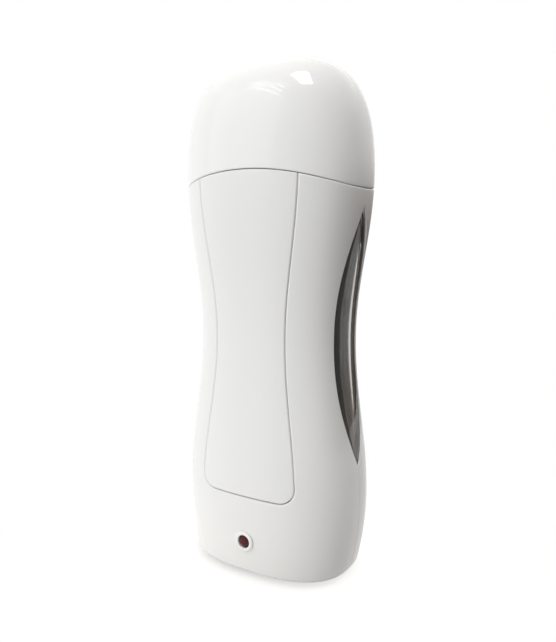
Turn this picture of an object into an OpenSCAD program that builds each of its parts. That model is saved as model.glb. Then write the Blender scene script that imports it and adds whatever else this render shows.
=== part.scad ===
// Hand-held heater for roll-on wax cartridges, in millimetres.
// It stands upright on its base: +Z is up, the front looks along -Y, and the
// origin lies at the middle of the foot pad's lower face.

/* [Outline] */
// Height from the table to the top of the cap
height = 205; // [198:1:215]
// Height of the widest line of the shoulder
shoulder_z = 161.8; // [158:0.1:166]
// Height of the waist
waist_z = 98; // [92:0.5:104]
// Height of the widest line of the hip
hip_z = 31; // [29:0.5:34]
// Width at the shoulder
shoulder_w = 77.7; // [76:0.1:82]
// Width at the waist
waist_w = 65.2; // [65:0.1:70]
// Width at the hip
hip_w = 77.4; // [76:0.1:82]
// Width at the base
base_w = 69.2; // [66:0.1:72]
// Depth at the shoulder
shoulder_d = 52; // [51.5:0.1:56]
// Depth at the waist
waist_d = 45.2; // [45:0.1:49]
// Depth at the hip
hip_d = 51.2; // [50.5:0.1:55]
// Depth at the base
base_d = 48.4; // [46:0.1:50]
// Squareness of the plan section, 2 is an ellipse
plan_power = 2.6; // [2.5:0.05:2.8]
// Sideways reach of the rounded bottom edge
base_round_w = 10; // [6:0.5:12]
// Height of the rounded bottom edge
base_round_h = 3; // [2.5:0.1:4]

/* [Shells] */
// Wall of the two case halves
wall = 2.2; // [1.8:0.1:2.4]
// Floor of the two case halves
floor_t = 2.4; // [2:0.1:3]
// Height of the seam under the cap, at the middle of the front
seam_z = 161.6; // [160:0.1:161.7]
// Radius of the arched seam
seam_radius = 115; // [105:1:140]
// Gap that shows as the seam line
seam_gap = 0.3; // [0.2:0.05:0.5]

/* [Cap] */
// Wall of the cap
cap_wall = 2.2; // [1.6:0.1:2.4]
// How squarely the dome rises from the shoulder
dome_rise = 2.3; // [2:0.05:2.6]
// Fullness of the dome, seen from the front
dome_side = 3.8; // [3:0.1:4.2]
// Fullness of the dome, seen from the side
dome_front = 3.4; // [3:0.1:4]
// Play between the cap and the neck collar
cap_play = 0.4; // [0.3:0.05:0.6]

/* [Front door] */
// Distance from the door's side edge to the body's outline
door_inset = 17; // [16.5:0.1:18]
// Height of the door's bottom edge
door_bottom_z = 34.5; // [34.5:0.1:37]
// Corner radius at the door's lower corners
door_corner = 6; // [4:0.5:8]
// Wall of the door
door_wall = 2; // [1.8:0.1:2]
// Gap around the door
door_gap = 0.45; // [0.4:0.05:0.6]
// Height of the hinge line above the door's bottom edge
hinge_up = 14; // [13.5:0.5:15]
// Depth of the hinge line behind the door's face
hinge_in = 3; // [2.9:0.05:3.1]
// Radius of the hinge pin
pin_r = 1; // [0.8:0.05:1.1]
// Play between the hinge pin and its clips
pin_play = 0.05; // [0.02:0.01:0.08]

/* [Side windows] */
// Height of the middle of the window
window_z = 97.5; // [93:0.5:97.5]
// Length of the window
window_len = 103; // [90:1:103]
// Width of the window at its middle
window_w = 19.6; // [14:0.2:20]
// Fullness of the pointed window outline
window_power = 3; // [2.5:0.1:3.5]
// Depth of the window face below the case surface
window_recess = 0.5; // [0.3:0.1:0.8]
// Gap around the window
window_gap = 0.15; // [0.1:0.05:0.25]
// Step of the flange that holds the window behind the wall
window_flange = 1.6; // [1:0.1:1.8]

/* [Cartridge bay] */
// Clear width of the bay
bay_w = 50.4; // [49.5:0.1:50.6]
// Clear depth of the bay
bay_d = 32.4; // [31.5:0.1:32.6]
// Corner radius of the bay
bay_corner = 8; // [7.5:0.1:9]
// Height of the bay floor's upper face
bay_z = 38; // [37.5:0.5:39]
// Thickness of the bay floor
bay_floor_t = 2; // [1.6:0.1:2.4]
// Wall of the heat sleeve
sleeve_t = 1; // [0.8:0.1:1]
// Height of the neck collar above the seam
neck_rise = 9; // [7:0.5:9.5]
// Wall of the neck collar
neck_t = 1.8; // [1.4:0.1:2.2]

/* [Heater] */
// Length of the heating element
element_len = 36; // [30:1:40]
// Width of the heating element
element_w = 18; // [14:1:18]
// Thickness of the heating element
element_t = 2; // [1.6:0.1:2]
// Thickness of the spring strap
strap_t = 0.4; // [0.3:0.05:0.4]
// Length of the thermostat's case
thermostat_len = 20; // [16:1:20]
// Radius of the thermal fuse
fuse_r = 1.3; // [1:0.1:1.5]

/* [Indicator lamp] */
// Height of the lamp above the table
lamp_z = 15.5; // [15:0.5:17]
// Radius of the lamp
lamp_r = 2.5; // [2:0.1:2.6]
// Outer radius of the ring around the lamp
bezel_r = 4.35; // [4:0.05:5]
// Height of the ring above the case
bezel_rise = 1.4; // [0.8:0.1:1.6]

/* [Power inlet] */
// Height of the inlet above the table
inlet_z = 17; // [16:0.5:18]
// Width of the inlet's opening
inlet_w = 14.6; // [14:0.1:15]
// Height of the inlet's opening
inlet_h = 8.4; // [8:0.1:8.6]
// Depth of the inlet's opening
inlet_depth = 12; // [11:0.5:12]
// Distance between the inlet pins
pin_pitch = 8.6; // [8.6:0.1:8.7]
// Radius of an inlet pin
inlet_pin_r = 1.2; // [1.15:0.01:1.2]
// Free length of an inlet pin
inlet_pin_len = 9.5; // [9:0.5:10]

/* [Fixings] */
// Distance of the case screws from the middle
screw_x = 30.8; // [30.7:0.05:31]
// Height of the lower case screws
screw_low_z = 20; // [18:0.5:22]
// Height of the upper case screws
screw_high_z = 146; // [146:0.1:147]
// Radius of a case screw
screw_r = 1.3; // [1.1:0.05:1.3]
// Outer radius of the screw bosses
boss_r = 3.3; // [3.1:0.05:3.3]
// Height that the foot pad stands proud of the base
pad_proud = 0.4; // [0.3:0.1:0.6]
// Thickness of the foot pad
pad_t = 1.2; // [1:0.1:1.6]

/* [Hidden] */
$fn = 48;

// Clearances and steps
seat = 0.3;                 // gap at a loose seat
slip = 0.15;                // gap of a part that is pushed into another
over = 1;                   // how far a cutter runs past what it cuts
ring_steps = 20;            // facets round half of the plan section
wall_rows = 20;             // rows of facets between the base and the shoulder
seam_fn = 180;              // facets round the seam's cutter and the springs
press = 0.02;               // gap of a pin that is pressed in
bite = 0.05;                // gap of a thread or a rivet in its hole
far = shoulder_w + hip_w;   // longer than the body is wide

// Shared heights
base_z = pad_proud;
floor_z = base_z + floor_t;
body_top = shoulder_z;
seam_side_z = seam_z - seam_radius + sqrt(pow(seam_radius, 2) - pow(shoulder_w / 2, 2));
cap_low_z = seam_side_z - 2;
deck_z = screw_high_z + boss_r + seat;
deck_t = 2.5;
neck_top = seam_z + neck_rise;

// The outline: half width and half depth at height z
function ease(t) = (1 - cos(180 * min(1, max(0, t)))) / 2;
function swell(z, shoulder, waist, hip, base) =
    z >= waist_z ? waist + (shoulder - waist) * ease((z - waist_z) / (shoulder_z - waist_z))
    : z >= hip_z ? waist + (hip - waist) * ease((waist_z - z) / (waist_z - hip_z))
    : base + (hip - base) * (1 - pow((hip_z - z) / hip_z, 2));
function half_w(z) = swell(z, shoulder_w, waist_w, hip_w, base_w) / 2;
function half_d(z) = swell(z, shoulder_d, waist_d, hip_d, base_d) / 2;

// A point of a squared ellipse, and a whole ring of them
function oval(a, w, d) = [
    w * sign(cos(a)) * pow(abs(cos(a)), 2 / plan_power),
    d * sign(sin(a)) * pow(abs(sin(a)), 2 / plan_power)];
function oval_ring(w, d) =
    [for (i = [0 : 2 * ring_steps - 1]) oval(180 * i / ring_steps, w, d)];

// The case surface: depth at a given x, and half width at a given y, both inset
function front_y(x, z, inset) =
    -(half_d(z) - inset) * pow(1 - pow(abs(x) / (half_w(z) - inset), plan_power), 1 / plan_power);
function side_x(y, z, inset) =
    (half_w(z) - inset) * pow(1 - pow(abs(y) / (half_d(z) - inset), plan_power), 1 / plan_power);

// Rounded rectangle with its middle at the origin
function round_rect(w, d, r) = [
    for (k = [0 : 3]) for (i = [0 : 6]) let (
        a = 90 * k + 15 * i,
        cx = (k == 0 || k == 3 ? 1 : -1) * (w / 2 - r),
        cy = (k < 2 ? 1 : -1) * (d / 2 - r))
        [cx + r * cos(a), cy + r * sin(a)]];

// Faces of a grid of points, rows going up and columns going right, seen from outside
function grid_faces(rows, cols, first, flip) = [
    for (i = [0 : rows - 2]) for (j = [0 : cols - 2]) let (
        a = first + i * cols + j,
        b = a + cols)
        each flip ? [[a, a + 1, b + 1], [a, b + 1, b]] : [[a, b + 1, a + 1], [a, b, b + 1]]];
function fan(points, flip) = [
    for (i = [1 : len(points) - 2])
        flip ? [points[0], points[i + 1], points[i]] : [points[0], points[i], points[i + 1]]];

// A curved slab between two grids of points: grids[0] is the face, grids[1] the back
module slab(outer, inner) {
    rows = len(outer);
    cols = len(outer[0]);
    n = rows * cols;
    rim = concat(
        [for (j = [0 : cols - 1]) j],
        [for (i = [1 : rows - 1]) i * cols + cols - 1],
        [for (j = [cols - 2 : -1 : 0]) (rows - 1) * cols + j],
        [for (i = [rows - 2 : -1 : 1]) i * cols]);
    sides = [for (k = [0 : len(rim) - 1]) let (a = rim[k], b = rim[(k + 1) % len(rim)])
        each [[a, b, b + n], [a, b + n, a + n]]];
    polyhedron(
        points = concat([for (r = outer) each r], [for (r = inner) each r]),
        faces = concat(grid_faces(rows, cols, 0, false), grid_faces(rows, cols, n, true), sides),
        convexity = 6);
}

// Rows of the case from the rounded bottom edge to the shoulder: [height, inset]
case_rows = concat(
    [for (a = [0 : 22.5 : 90]) [base_z + base_round_h * (1 - cos(a)), base_round_w * (1 - sin(a))]],
    [for (i = [1 : wall_rows])
        [base_z + base_round_h + i * (body_top - base_z - base_round_h) / wall_rows, 0]]);

// Half of the case as one wall with its floor, turned a0 degrees about Z
module half_case(a0) {
    cols = ring_steps + 1;
    rows = len(case_rows);
    n = rows * cols;
    lift = (body_top - floor_z) / (body_top - base_z);
    outer = [for (r = case_rows) for (j = [0 : ring_steps])
        let (p = oval(a0 + 180 * j / ring_steps, half_w(r[0]) - r[1], half_d(r[0]) - r[1]))
        [p[0], p[1], r[0]]];
    inner = [for (r = case_rows) for (j = [0 : ring_steps])
        let (z = floor_z + (r[0] - base_z) * lift,
            p = oval(a0 + 180 * j / ring_steps, half_w(z) - wall, half_d(z) - wall))
        [p[0], p[1], z]];
    last = cols - 1;
    polyhedron(
        points = concat(outer, inner),
        faces = concat(
            grid_faces(rows, cols, 0, false),
            grid_faces(rows, cols, n, true),
            fan([for (j = [0 : last]) j], false),
            fan([for (j = [0 : last]) n + j], true),
            [[0, n, n + last], [0, n + last, last]],
            [for (i = [0 : rows - 2]) let (a = i * cols, b = a + cols)
                each [[a, b + n, a + n], [a, b, b + n]]],
            [for (i = [0 : rows - 2]) let (a = i * cols + last, b = a + cols)
                each [[a, a + n, b + n], [a, b + n, b]]],
            [for (j = [0 : last - 1]) let (a = (rows - 1) * cols + j)
                each [[a, a + n, a + n + 1], [a, a + n + 1, a + 1]]]),
        convexity = 8);
}

// A solid of the case's outer shape, inset all round, that trims bosses
module case_core(inset) {
    low = base_z + inset;
    rows = [for (i = [0 : wall_rows / 2]) low + i * (body_top - low) / (wall_rows / 2)];
    cols = 2 * ring_steps;
    points = [for (z = rows) for (p = oval_ring(half_w(z) - inset, half_d(z) - inset))
        [p[0], p[1], z]];
    polyhedron(
        points = points,
        faces = concat(
            [for (i = [0 : len(rows) - 2]) for (j = [0 : cols - 1]) let (
                a = i * cols + j,
                b = i * cols + (j + 1) % cols)
                each [[a, b + cols, b], [a, a + cols, b + cols]]],
            fan([for (j = [0 : cols - 1]) j], false),
            fan([for (j = [0 : cols - 1]) (len(rows) - 1) * cols + j], true)),
        convexity = 4);
}

// Everything below the arched seam, with the arc's radius grown by g
module below_seam(g) {
    translate([0, 0, seam_z - seam_radius])
        rotate([90, 0, 0])
            cylinder(r = seam_radius + g, h = far, center = true, $fn = seam_fn);
}

// Door outline in the X-Z plane: half width at each height, grown by g all round
function door_half(z) = half_w(max(z, door_bottom_z + door_corner)) - door_inset;
function door_rows(g, top) = let (
    r = door_corner + g,
    low = door_bottom_z - g,
    w = door_half(door_bottom_z + door_corner) + g)
    concat(
        [for (a = [0 : 15 : 90]) [w - r + r * sin(a), low + r * (1 - cos(a))]],
        [for (i = [1 : wall_rows]) let (z = low + r + i * (top - low - r) / wall_rows)
        [door_half(z) + g, z]]);
module door_cutter() {
    side = door_rows(door_gap, body_top + over);
    translate([0, -waist_d / 4, 0])
        rotate([90, 0, 0])
            linear_extrude(hip_d)
                polygon(concat(side, [for (i = [len(side) - 1 : -1 : 0]) [-side[i][0], side[i][1]]]));
}

// Window outline in the Y-Z plane, grown by g
window_tip = 0.25;
window_rows = 24;
function window_reach(g) = window_len / 2 + min(g, seat);
function window_half(z, g) = let (t = min(1, abs(z - window_z) / window_reach(g)))
    max(window_tip, (window_w / 2 + g) * (1 - pow(t, window_power)));
function window_heights(g) = [for (i = [0 : window_rows])
    window_z - window_reach(g) * cos(180 * i / window_rows)];
module window_cutter() {
    side = [for (z = window_heights(window_gap)) [window_half(z, window_gap), z]];
    rotate([90, 0, 90])
        linear_extrude(far, center = true)
            polygon(concat(side, [for (i = [len(side) - 1 : -1 : 0]) [-side[i][0], side[i][1]]]));
}

// Screw places, and a bar along Y at each of them from y0 to y1
screw_places = [[-screw_x, screw_low_z], [screw_x, screw_low_z],
    [-screw_x, screw_high_z], [screw_x, screw_high_z]];
screw_head_r = 2.3;
screw_head_h = 1.6;
screw_head_play = 0.2;
screw_seat_y = 7;
screw_tip_y = -9;
module screw_bars(r, y0, y1) {
    for (p = screw_places)
        translate([p[0], y0, p[1]])
            rotate([-90, 0, 0])
                cylinder(r = r, h = y1 - y0);
}

// Foot pad outline, and its pocket in the base
pad_margin = 2.5;
pad_w = base_w - 2 * (base_round_w + pad_margin);
pad_d = base_d - 2 * (base_round_w + pad_margin);
module pad_shape(g, z0, z1) {
    translate([0, 0, z0])
        linear_extrude(z1 - z0)
            polygon(round_rect(pad_w + 2 * g, pad_d + 2 * g, pad_d / 3 + g));
}

// Circuit board: place and posts
board_w = 34;
board_d = 17;
board_t = 1.6;
board_z = 7;
board_y = -9.6;
post_r = 1.6;
post_in = 3;
post_dx = board_w / 2 - post_in;
post_dy = board_d / 2 - post_in;

// Brackets inside the shells that carry the inner frame: side is 1 for the back half
ledge_x = 27.5;
ledge_w = 8;
ledge_t = 2;
ledge_reach = 3;
module ledges(side) {
    difference() {
        for (x = [-ledge_x, ledge_x])
            translate([x - ledge_w / 2, side > 0 ? 0 : -hip_d / 2, bay_z - bay_floor_t - ledge_t])
                cube([ledge_w, hip_d / 2, ledge_t]);
        linear_extrude(bay_z)
            polygon(oval_ring(half_w(bay_z) - wall - ledge_reach, half_d(bay_z) - wall - ledge_reach));
    }
}

module front_shell() {
    color("white")
    difference() {
        union() {
            intersection() {
                half_case(180);
                below_seam(0);
            }
            intersection() {
                union() {
                    screw_bars(boss_r, -hip_d / 2, 0);
                    ledges(-1);
                }
                case_core(wall / 2);
            }
            for (x = [-post_dx, post_dx])
                for (y = [-post_dy, post_dy])
                    translate([x, board_y + y, floor_z - over])
                        cylinder(r = post_r, h = board_z - floor_z + over);
        }
        door_cutter();
        window_cutter();
        screw_bars(screw_r + bite, screw_tip_y - over, over);
        pad_shape(slip, base_z - over, pad_t);
        translate([0, -waist_d / 4, lamp_z])
            rotate([90, 0, 0])
                cylinder(r = bezel_r - ring_step + slip, h = hip_d);
    }
}

module back_shell() {
    color("white")
    difference() {
        union() {
            intersection() {
                half_case(0);
                below_seam(0);
            }
            intersection() {
                union() {
                    screw_bars(boss_r, 0, hip_d / 2);
                    ledges(1);
                }
                case_core(wall / 2);
            }
        }
        window_cutter();
        screw_bars(screw_r + slip, -over, hip_d);
        screw_bars(screw_head_r + screw_head_play, screw_seat_y, hip_d);
        pad_shape(slip, base_z - over, pad_t);
        translate([0, waist_d / 4, inlet_z])
            rotate([-90, 0, 0])
                linear_extrude(hip_d)
                    polygon(inlet_outline(inlet_wall + slip));
    }
}

// Dome of the cap from its lower edge to the top, inset by t: rings of points
function dome_rings(t) = concat(
    [for (i = [0 : 3]) let (z = cap_low_z + i * (shoulder_z - cap_low_z) / 3)
        [half_w(z) - t, half_d(z) - t, z]],
    [for (a = [12, 24, 36, 46, 55, 63, 70, 76, 81, 85, 88]) [
        (shoulder_w / 2 - t) * pow(cos(a), 2 / dome_side),
        (shoulder_d / 2 - t) * pow(cos(a), 2 / dome_front),
        shoulder_z + (height - t - shoulder_z) * pow(sin(a), 2 / dome_rise)]]);

module cap() {
    cols = 2 * ring_steps;
    outer = dome_rings(0);
    inner = dome_rings(cap_wall);
    rows = len(outer);
    n = rows * cols;
    points = concat(
        [for (r = outer) for (p = oval_ring(r[0], r[1])) [p[0], p[1], r[2]]],
        [for (r = inner) for (p = oval_ring(r[0], r[1])) [p[0], p[1], r[2]]],
        [[0, 0, height], [0, 0, height - cap_wall]]);
    walls = [for (i = [0 : rows - 2]) for (j = [0 : cols - 1]) let (
        a = i * cols + j,
        b = i * cols + (j + 1) % cols)
        each [[a, b + cols, b], [a, a + cols, b + cols],
            [a + n, b + n, b + cols + n], [a + n, b + cols + n, a + cols + n]]];
    ends = [for (j = [0 : cols - 1]) let (
        k = (j + 1) % cols,
        top = (rows - 1) * cols)
        each [[top + j, 2 * n, top + k], [top + j + n, top + k + n, 2 * n + 1],
            [j, k, k + n], [j, k + n, j + n]]];
    color("white")
    difference() {
        polyhedron(points = points, faces = concat(walls, ends), convexity = 6);
        below_seam(seam_gap);
    }
}

// Collar round the mouth of the bay: the cap slips over it, its deck guides the
// cartridge, and the rim under the deck holds the top of the heat sleeve
neck_half_w = min(shoulder_w / 2 - cap_wall - cap_play, half_w(deck_z) - wall - slip);
neck_half_d = min(shoulder_d / 2 - cap_wall - cap_play, half_d(deck_z) - wall - slip);
rim_t = 1;
rim_depth = 7;
module neck_collar() {
    color("gainsboro") {
        difference() {
            translate([0, 0, deck_z])
                linear_extrude(neck_top - deck_z)
                    polygon(oval_ring(neck_half_w, neck_half_d));
            translate([0, 0, deck_z + deck_t])
                linear_extrude(neck_top)
                    polygon(oval_ring(neck_half_w - neck_t, neck_half_d - neck_t));
            translate([0, 0, deck_z - over])
                linear_extrude(neck_top)
                    polygon(round_rect(bay_w, bay_d, bay_corner));
        }
        translate([0, 0, deck_z - rim_depth])
            linear_extrude(rim_depth)
                difference() {
                    polygon(sleeve_outline(slip + rim_t));
                    polygon(sleeve_outline(slip));
                }
    }
}

// Heat sleeve: its outline grown by g, the mouth that leaves the door's side open,
// and a slot beside each window so that the level of the wax can be seen
function sleeve_outline(g) = round_rect(
    bay_w + 2 * (sleeve_t + g), bay_d + 2 * (sleeve_t + g), bay_corner + sleeve_t + g);
sleeve_back = bay_d / 2 + sleeve_t;
sleeve_top = deck_z - seat;
sleeve_mouth = 40;
sleeve_slot_w = 9;
sleeve_slot_len = 80;
module heat_sleeve() {
    color("silver")
    difference() {
        translate([0, 0, bay_z])
            linear_extrude(sleeve_top - bay_z)
                difference() {
                    polygon(sleeve_outline(0));
                    polygon(round_rect(bay_w, bay_d, bay_corner));
                }
        translate([-sleeve_mouth / 2, -bay_d, bay_z - over])
            cube([sleeve_mouth, bay_d, sleeve_top]);
        for (s = [-1, 1])
            translate([s * bay_w / 2, 0, window_z])
                cube([bay_corner / 2, sleeve_slot_w, sleeve_slot_len], center = true);
    }
}

// Hinge line of the front door
hinge_z = door_bottom_z + hinge_up;
hinge_y = front_y(0, hinge_z, 0) + hinge_in;
ear_skin = 1;       // from the door's face to the round end of an ear
ear_r = hinge_in - ear_skin;
ear_x = 11;
ear_t = 2;
clip_skin = 0.8;    // from the door's face to the round end of a clip
clip_r = hinge_in - clip_skin;
clip_x = 5;
clip_t = 4;
module hinge_bar(r, x0, len) {
    translate([x0, hinge_y, hinge_z])
        rotate([0, 90, 0])
            cylinder(r = r, h = len);
}

// Leaf springs on the door: a bow of strip with its ends on the door's inner face
spring_w = 7;
spring_x = 8;
spring_t = 0.4;
spring_low_z = 64;
spring_high_z = 132;
spring_foot = 6;
spring_bow_z = spring_low_z + spring_foot;
spring_mid_z = (spring_bow_z + spring_high_z) / 2;
spring_stand = 1.2;
spring_end_y = -(half_d(spring_low_z) - door_wall) + spring_stand;
spring_bow = -bay_d / 2 - seat - spring_end_y;
spring_half = (spring_high_z - spring_bow_z) / 2;
spring_radius = (pow(spring_half, 2) + pow(spring_bow, 2)) / (2 * spring_bow);
rivet_r = 1.2;
rivet_depth = 1.5;
rivet_head_r = 2.2;
rivet_head_h = 0.5;
rivet_boss_r = rivet_head_r + 0.5;
rivet_z = spring_low_z + spring_foot / 2;

// Tongue at the top of the door that slips under the deck of the neck collar
tongue_w = 12;
tongue_t = 1.5;
tongue_reach = 3.5;

module door_panel() {
    top = body_top;
    cols = 14;
    rows = door_rows(0, top);
    outer = [for (r = rows) [for (j = [0 : cols]) let (x = r[0] * (2 * j / cols - 1))
        [x, front_y(x, r[1], 0), r[1]]]];
    inner = [for (r = rows) [for (j = [0 : cols]) let (x = r[0] * (2 * j / cols - 1))
        [x, front_y(x, r[1], door_wall), r[1]]]];
    color("whitesmoke")
    difference() {
        union() {
            intersection() {
                slab(outer, inner);
                below_seam(0);
            }
            for (s = [-1, 1]) {
                hinge_bar(ear_r, s * ear_x - ear_t / 2, ear_t);
                translate([s * spring_x, front_y(spring_x, rivet_z, door_wall) - door_wall / 2, rivet_z])
                    rotate([-90, 0, 0])
                        cylinder(r = rivet_boss_r,
                            h = spring_end_y + door_wall / 2 - front_y(spring_x, rivet_z, door_wall));
            }
            translate([-tongue_w / 2, front_y(0, deck_z, door_wall) - door_wall / 2,
                deck_z - seat - tongue_t])
                cube([tongue_w, door_wall / 2 + tongue_reach, tongue_t]);
        }
        hinge_bar(pin_r + press, -hip_w / 2, hip_w);
        for (s = [-1, 1])
            translate([s * spring_x, spring_end_y - rivet_depth, rivet_z])
                rotate([-90, 0, 0])
                    cylinder(r = rivet_r + bite, h = rivet_depth + over);
    }
}

module hinge_pin() {
    color("silver")
        hinge_bar(pin_r, -ear_x - ear_t / 2, 2 * ear_x + ear_t);
}

module door_springs() {
    color("lightsteelblue")
    for (s = [-1, 1])
        difference() {
            translate([s * spring_x - spring_w / 2, 0, 0])
                rotate([90, 0, 90])
                    linear_extrude(spring_w) {
                        intersection() {
                            translate([spring_end_y + spring_bow - spring_radius, spring_mid_z])
                                difference() {
                                    circle(r = spring_radius, $fn = seam_fn);
                                    circle(r = spring_radius - spring_t, $fn = seam_fn);
                                }
                            translate([spring_end_y, spring_bow_z])
                                square([spring_bow + over, 2 * spring_half]);
                        }
                        translate([spring_end_y, spring_low_z])
                            square([spring_t, spring_foot + over]);
                    }
            translate([s * spring_x, spring_end_y - over, rivet_z])
                rotate([-90, 0, 0])
                    cylinder(r = rivet_r + bite, h = spring_t + 2 * over);
        }
}

module spring_rivets() {
    color("silver")
    for (s = [-1, 1])
        translate([s * spring_x, spring_end_y, rivet_z])
            rotate([-90, 0, 0]) {
                translate([0, 0, bite - rivet_depth])
                    cylinder(r = rivet_r, h = rivet_depth - bite + spring_t + rivet_head_h / 2);
                translate([0, 0, spring_t])
                    cylinder(r = rivet_head_r, h = rivet_head_h);
            }
}

// Inner frame: floor of the bay, which rests on the ledges, a low wall in front of
// the cartridge, and the two clips that the hinge pin snaps into
front_wall_t = 1.2;
front_wall_w = 24;
front_wall_rise = 4;    // above the hinge line
front_wall_top = hinge_z + front_wall_rise;
clip_lip = 0.3;
clip_web = 3.6;
wire_gate = 18;
module bay_frame() {
    floor_low = bay_z - bay_floor_t;
    color("dimgray")
    difference() {
        union() {
            difference() {
                translate([0, 0, floor_low])
                    linear_extrude(bay_floor_t)
                        polygon(oval_ring(half_w(bay_z) - wall - seat, half_d(bay_z) - wall - seat));
                // The floor stands back here, to clear the door as it swings
                translate([-bay_w / 2, -hip_d, floor_low - over])
                    cube([bay_w, hip_d - bay_d / 2, bay_floor_t + 2 * over]);
                translate([-wire_gate / 2, sleeve_back + seat, floor_low - over])
                    cube([wire_gate, hip_d, bay_floor_t + 2 * over]);
            }
            translate([-front_wall_w / 2, -bay_d / 2 - front_wall_t, floor_low]) {
                cube([front_wall_w, front_wall_t, front_wall_top - floor_low]);
                cube([front_wall_w, 2 * front_wall_t, bay_floor_t]);
            }
            for (s = [-1, 1]) {
                hinge_bar(clip_r, s * (clip_x + clip_t / 2) - clip_t / 2, clip_t);
                translate([s * (clip_x + clip_t / 2) - clip_t / 2, hinge_y, hinge_z - clip_web / 2])
                    cube([clip_t, -bay_d / 2 - front_wall_t / 2 - hinge_y, clip_web]);
            }
        }
        hinge_bar(pin_r + pin_play, -hip_w / 2, hip_w);
        translate([-ear_x + ear_t, hinge_y - 2 * clip_r, hinge_z - 2 * clip_r])
            cube([2 * (ear_x - ear_t), 2 * clip_r - clip_lip, 4 * clip_r]);
        translate([-ear_x + ear_t, hinge_y - 2 * clip_r, hinge_z - 2 * clip_r])
            cube([2 * (ear_x - ear_t), 2 * clip_r, 2 * clip_r]);
    }
}

// Heating element: a flat block on the back of the sleeve, with two terminals
element_z = waist_z - element_len / 2;
element_back = sleeve_back + element_t;
tab_t = 0.5;            // terminal tabs of the element and the thermostat
tab_w = 2;
tab_len = 4;
terminal_x = element_w / 2 - tab_w;
terminal_y = sleeve_back + element_t / 2;
module heating_element() {
    color("tan") {
        translate([-element_w / 2, sleeve_back, element_z])
            cube([element_w, element_t, element_len]);
        for (s = [-1, 1])
            translate([s * terminal_x - tab_w / 2, terminal_y - tab_t / 2, element_z - tab_len])
                cube([tab_w, tab_t, tab_len]);
    }
}

// Spring strap over the element, with a foot at each end for its screw
strap_w = 9;
strap_foot = 7;
strap_slope = 3;        // from a foot to the element
strap_crest = 0.3;      // flat of the strap past the element's edge
strap_low_z = element_z - strap_foot - strap_slope;
strap_high_z = element_z + element_len + strap_foot + strap_slope;
strap_screw_r = 1.1;
strap_head_r = 2;
strap_head_h = 1.2;
strap_screws_z = [strap_low_z + strap_foot / 2, strap_high_z - strap_foot / 2];
module element_strap() {
    side = sleeve_back;
    low = strap_low_z;
    high = strap_high_z;
    top = element_z + element_len;
    color("lightsteelblue")
    difference() {
        translate([-strap_w / 2, 0, 0])
            rotate([90, 0, 90])
                linear_extrude(strap_w)
                    polygon([[side, low], [side + strap_t, low],
                        [side + strap_t, low + strap_foot],
                        [element_back + strap_t, element_z - strap_crest - strap_t / 2],
                        [element_back + strap_t, top + strap_crest + strap_t / 2],
                        [side + strap_t, high - strap_foot], [side + strap_t, high],
                        [side, high], [side, high - strap_foot],
                        [element_back, top + strap_crest], [element_back, element_z - strap_crest],
                        [side, low + strap_foot]]);
        for (z = strap_screws_z)
            translate([0, side - over, z])
                rotate([-90, 0, 0])
                    cylinder(r = strap_screw_r + slip, h = strap_t + 2 * over);
    }
}

module strap_screws() {
    color("silver")
    for (z = strap_screws_z)
        translate([0, sleeve_back, z])
            rotate([-90, 0, 0]) {
                cylinder(r = strap_screw_r, h = strap_t + strap_head_h / 2);
                translate([0, 0, strap_t])
                    cylinder(r = strap_head_r, h = strap_head_h);
            }
}

sheet_w = 13;
sheet_t = 0.2;
sheet_margin = 2;
module insulation_sheet() {
    color("khaki")
        translate([-sheet_w / 2, element_back + strap_t + bite, element_z - sheet_margin])
            cube([sheet_w, sheet_t, element_len + 2 * sheet_margin]);
}

// Thermostat on the back of the sleeve under the element
thermostat_w = 8;
thermostat_t = 3.4;
thermostat_z = 42;
thermostat_y = sleeve_back + thermostat_t / 2;
thermostat_end = thermostat_z + thermostat_len;
thermostat_tab = 3;     // width and reach of its tabs
module thermostat() {
    color("saddlebrown")
        translate([-thermostat_w / 2, sleeve_back, thermostat_z])
            cube([thermostat_w, thermostat_t, thermostat_len]);
    color("silver")
        for (z = [thermostat_z - thermostat_tab, thermostat_end])
            translate([-thermostat_tab / 2, thermostat_y - tab_t / 2, z])
                cube([thermostat_tab, tab_t, thermostat_tab]);
}

fuse_x = 12;
fuse_z = 48;
fuse_len = 10;
fuse_lead_r = 0.4;
fuse_lead_len = 3;
fuse_y = sleeve_back + fuse_r + bite;
module thermal_fuse() {
    color("beige")
        translate([fuse_x, fuse_y, fuse_z])
            cylinder(r = fuse_r, h = fuse_len);
    color("silver")
        translate([fuse_x, fuse_y, fuse_z - fuse_lead_len])
            cylinder(r = fuse_lead_r, h = fuse_len + 2 * fuse_lead_len);
}

resistor_r = 1.2;
resistor_len = 7;
rectifier_w = 6;
rectifier_d = 4;
rectifier_h = 2.4;
module circuit_board() {
    color("forestgreen")
    difference() {
        translate([-board_w / 2, board_y - board_d / 2, board_z])
            cube([board_w, board_d, board_t]);
        for (x = [-leg_x, leg_x])
            translate([x, lamp_back + leg_out, board_z - over])
                cylinder(r = leg_r + slip, h = board_t + 2 * over);
    }
    // A resistor and a rectifier on the board's upper face
    color("goldenrod")
        translate([-post_dx + post_r, board_y, board_z + board_t + resistor_r])
            rotate([0, 90, 0])
                cylinder(r = resistor_r, h = resistor_len);
    color("black")
        translate([post_dx - post_r - rectifier_w, board_y - rectifier_d / 2, board_z + board_t])
            cube([rectifier_w, rectifier_d, rectifier_h]);
}

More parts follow.
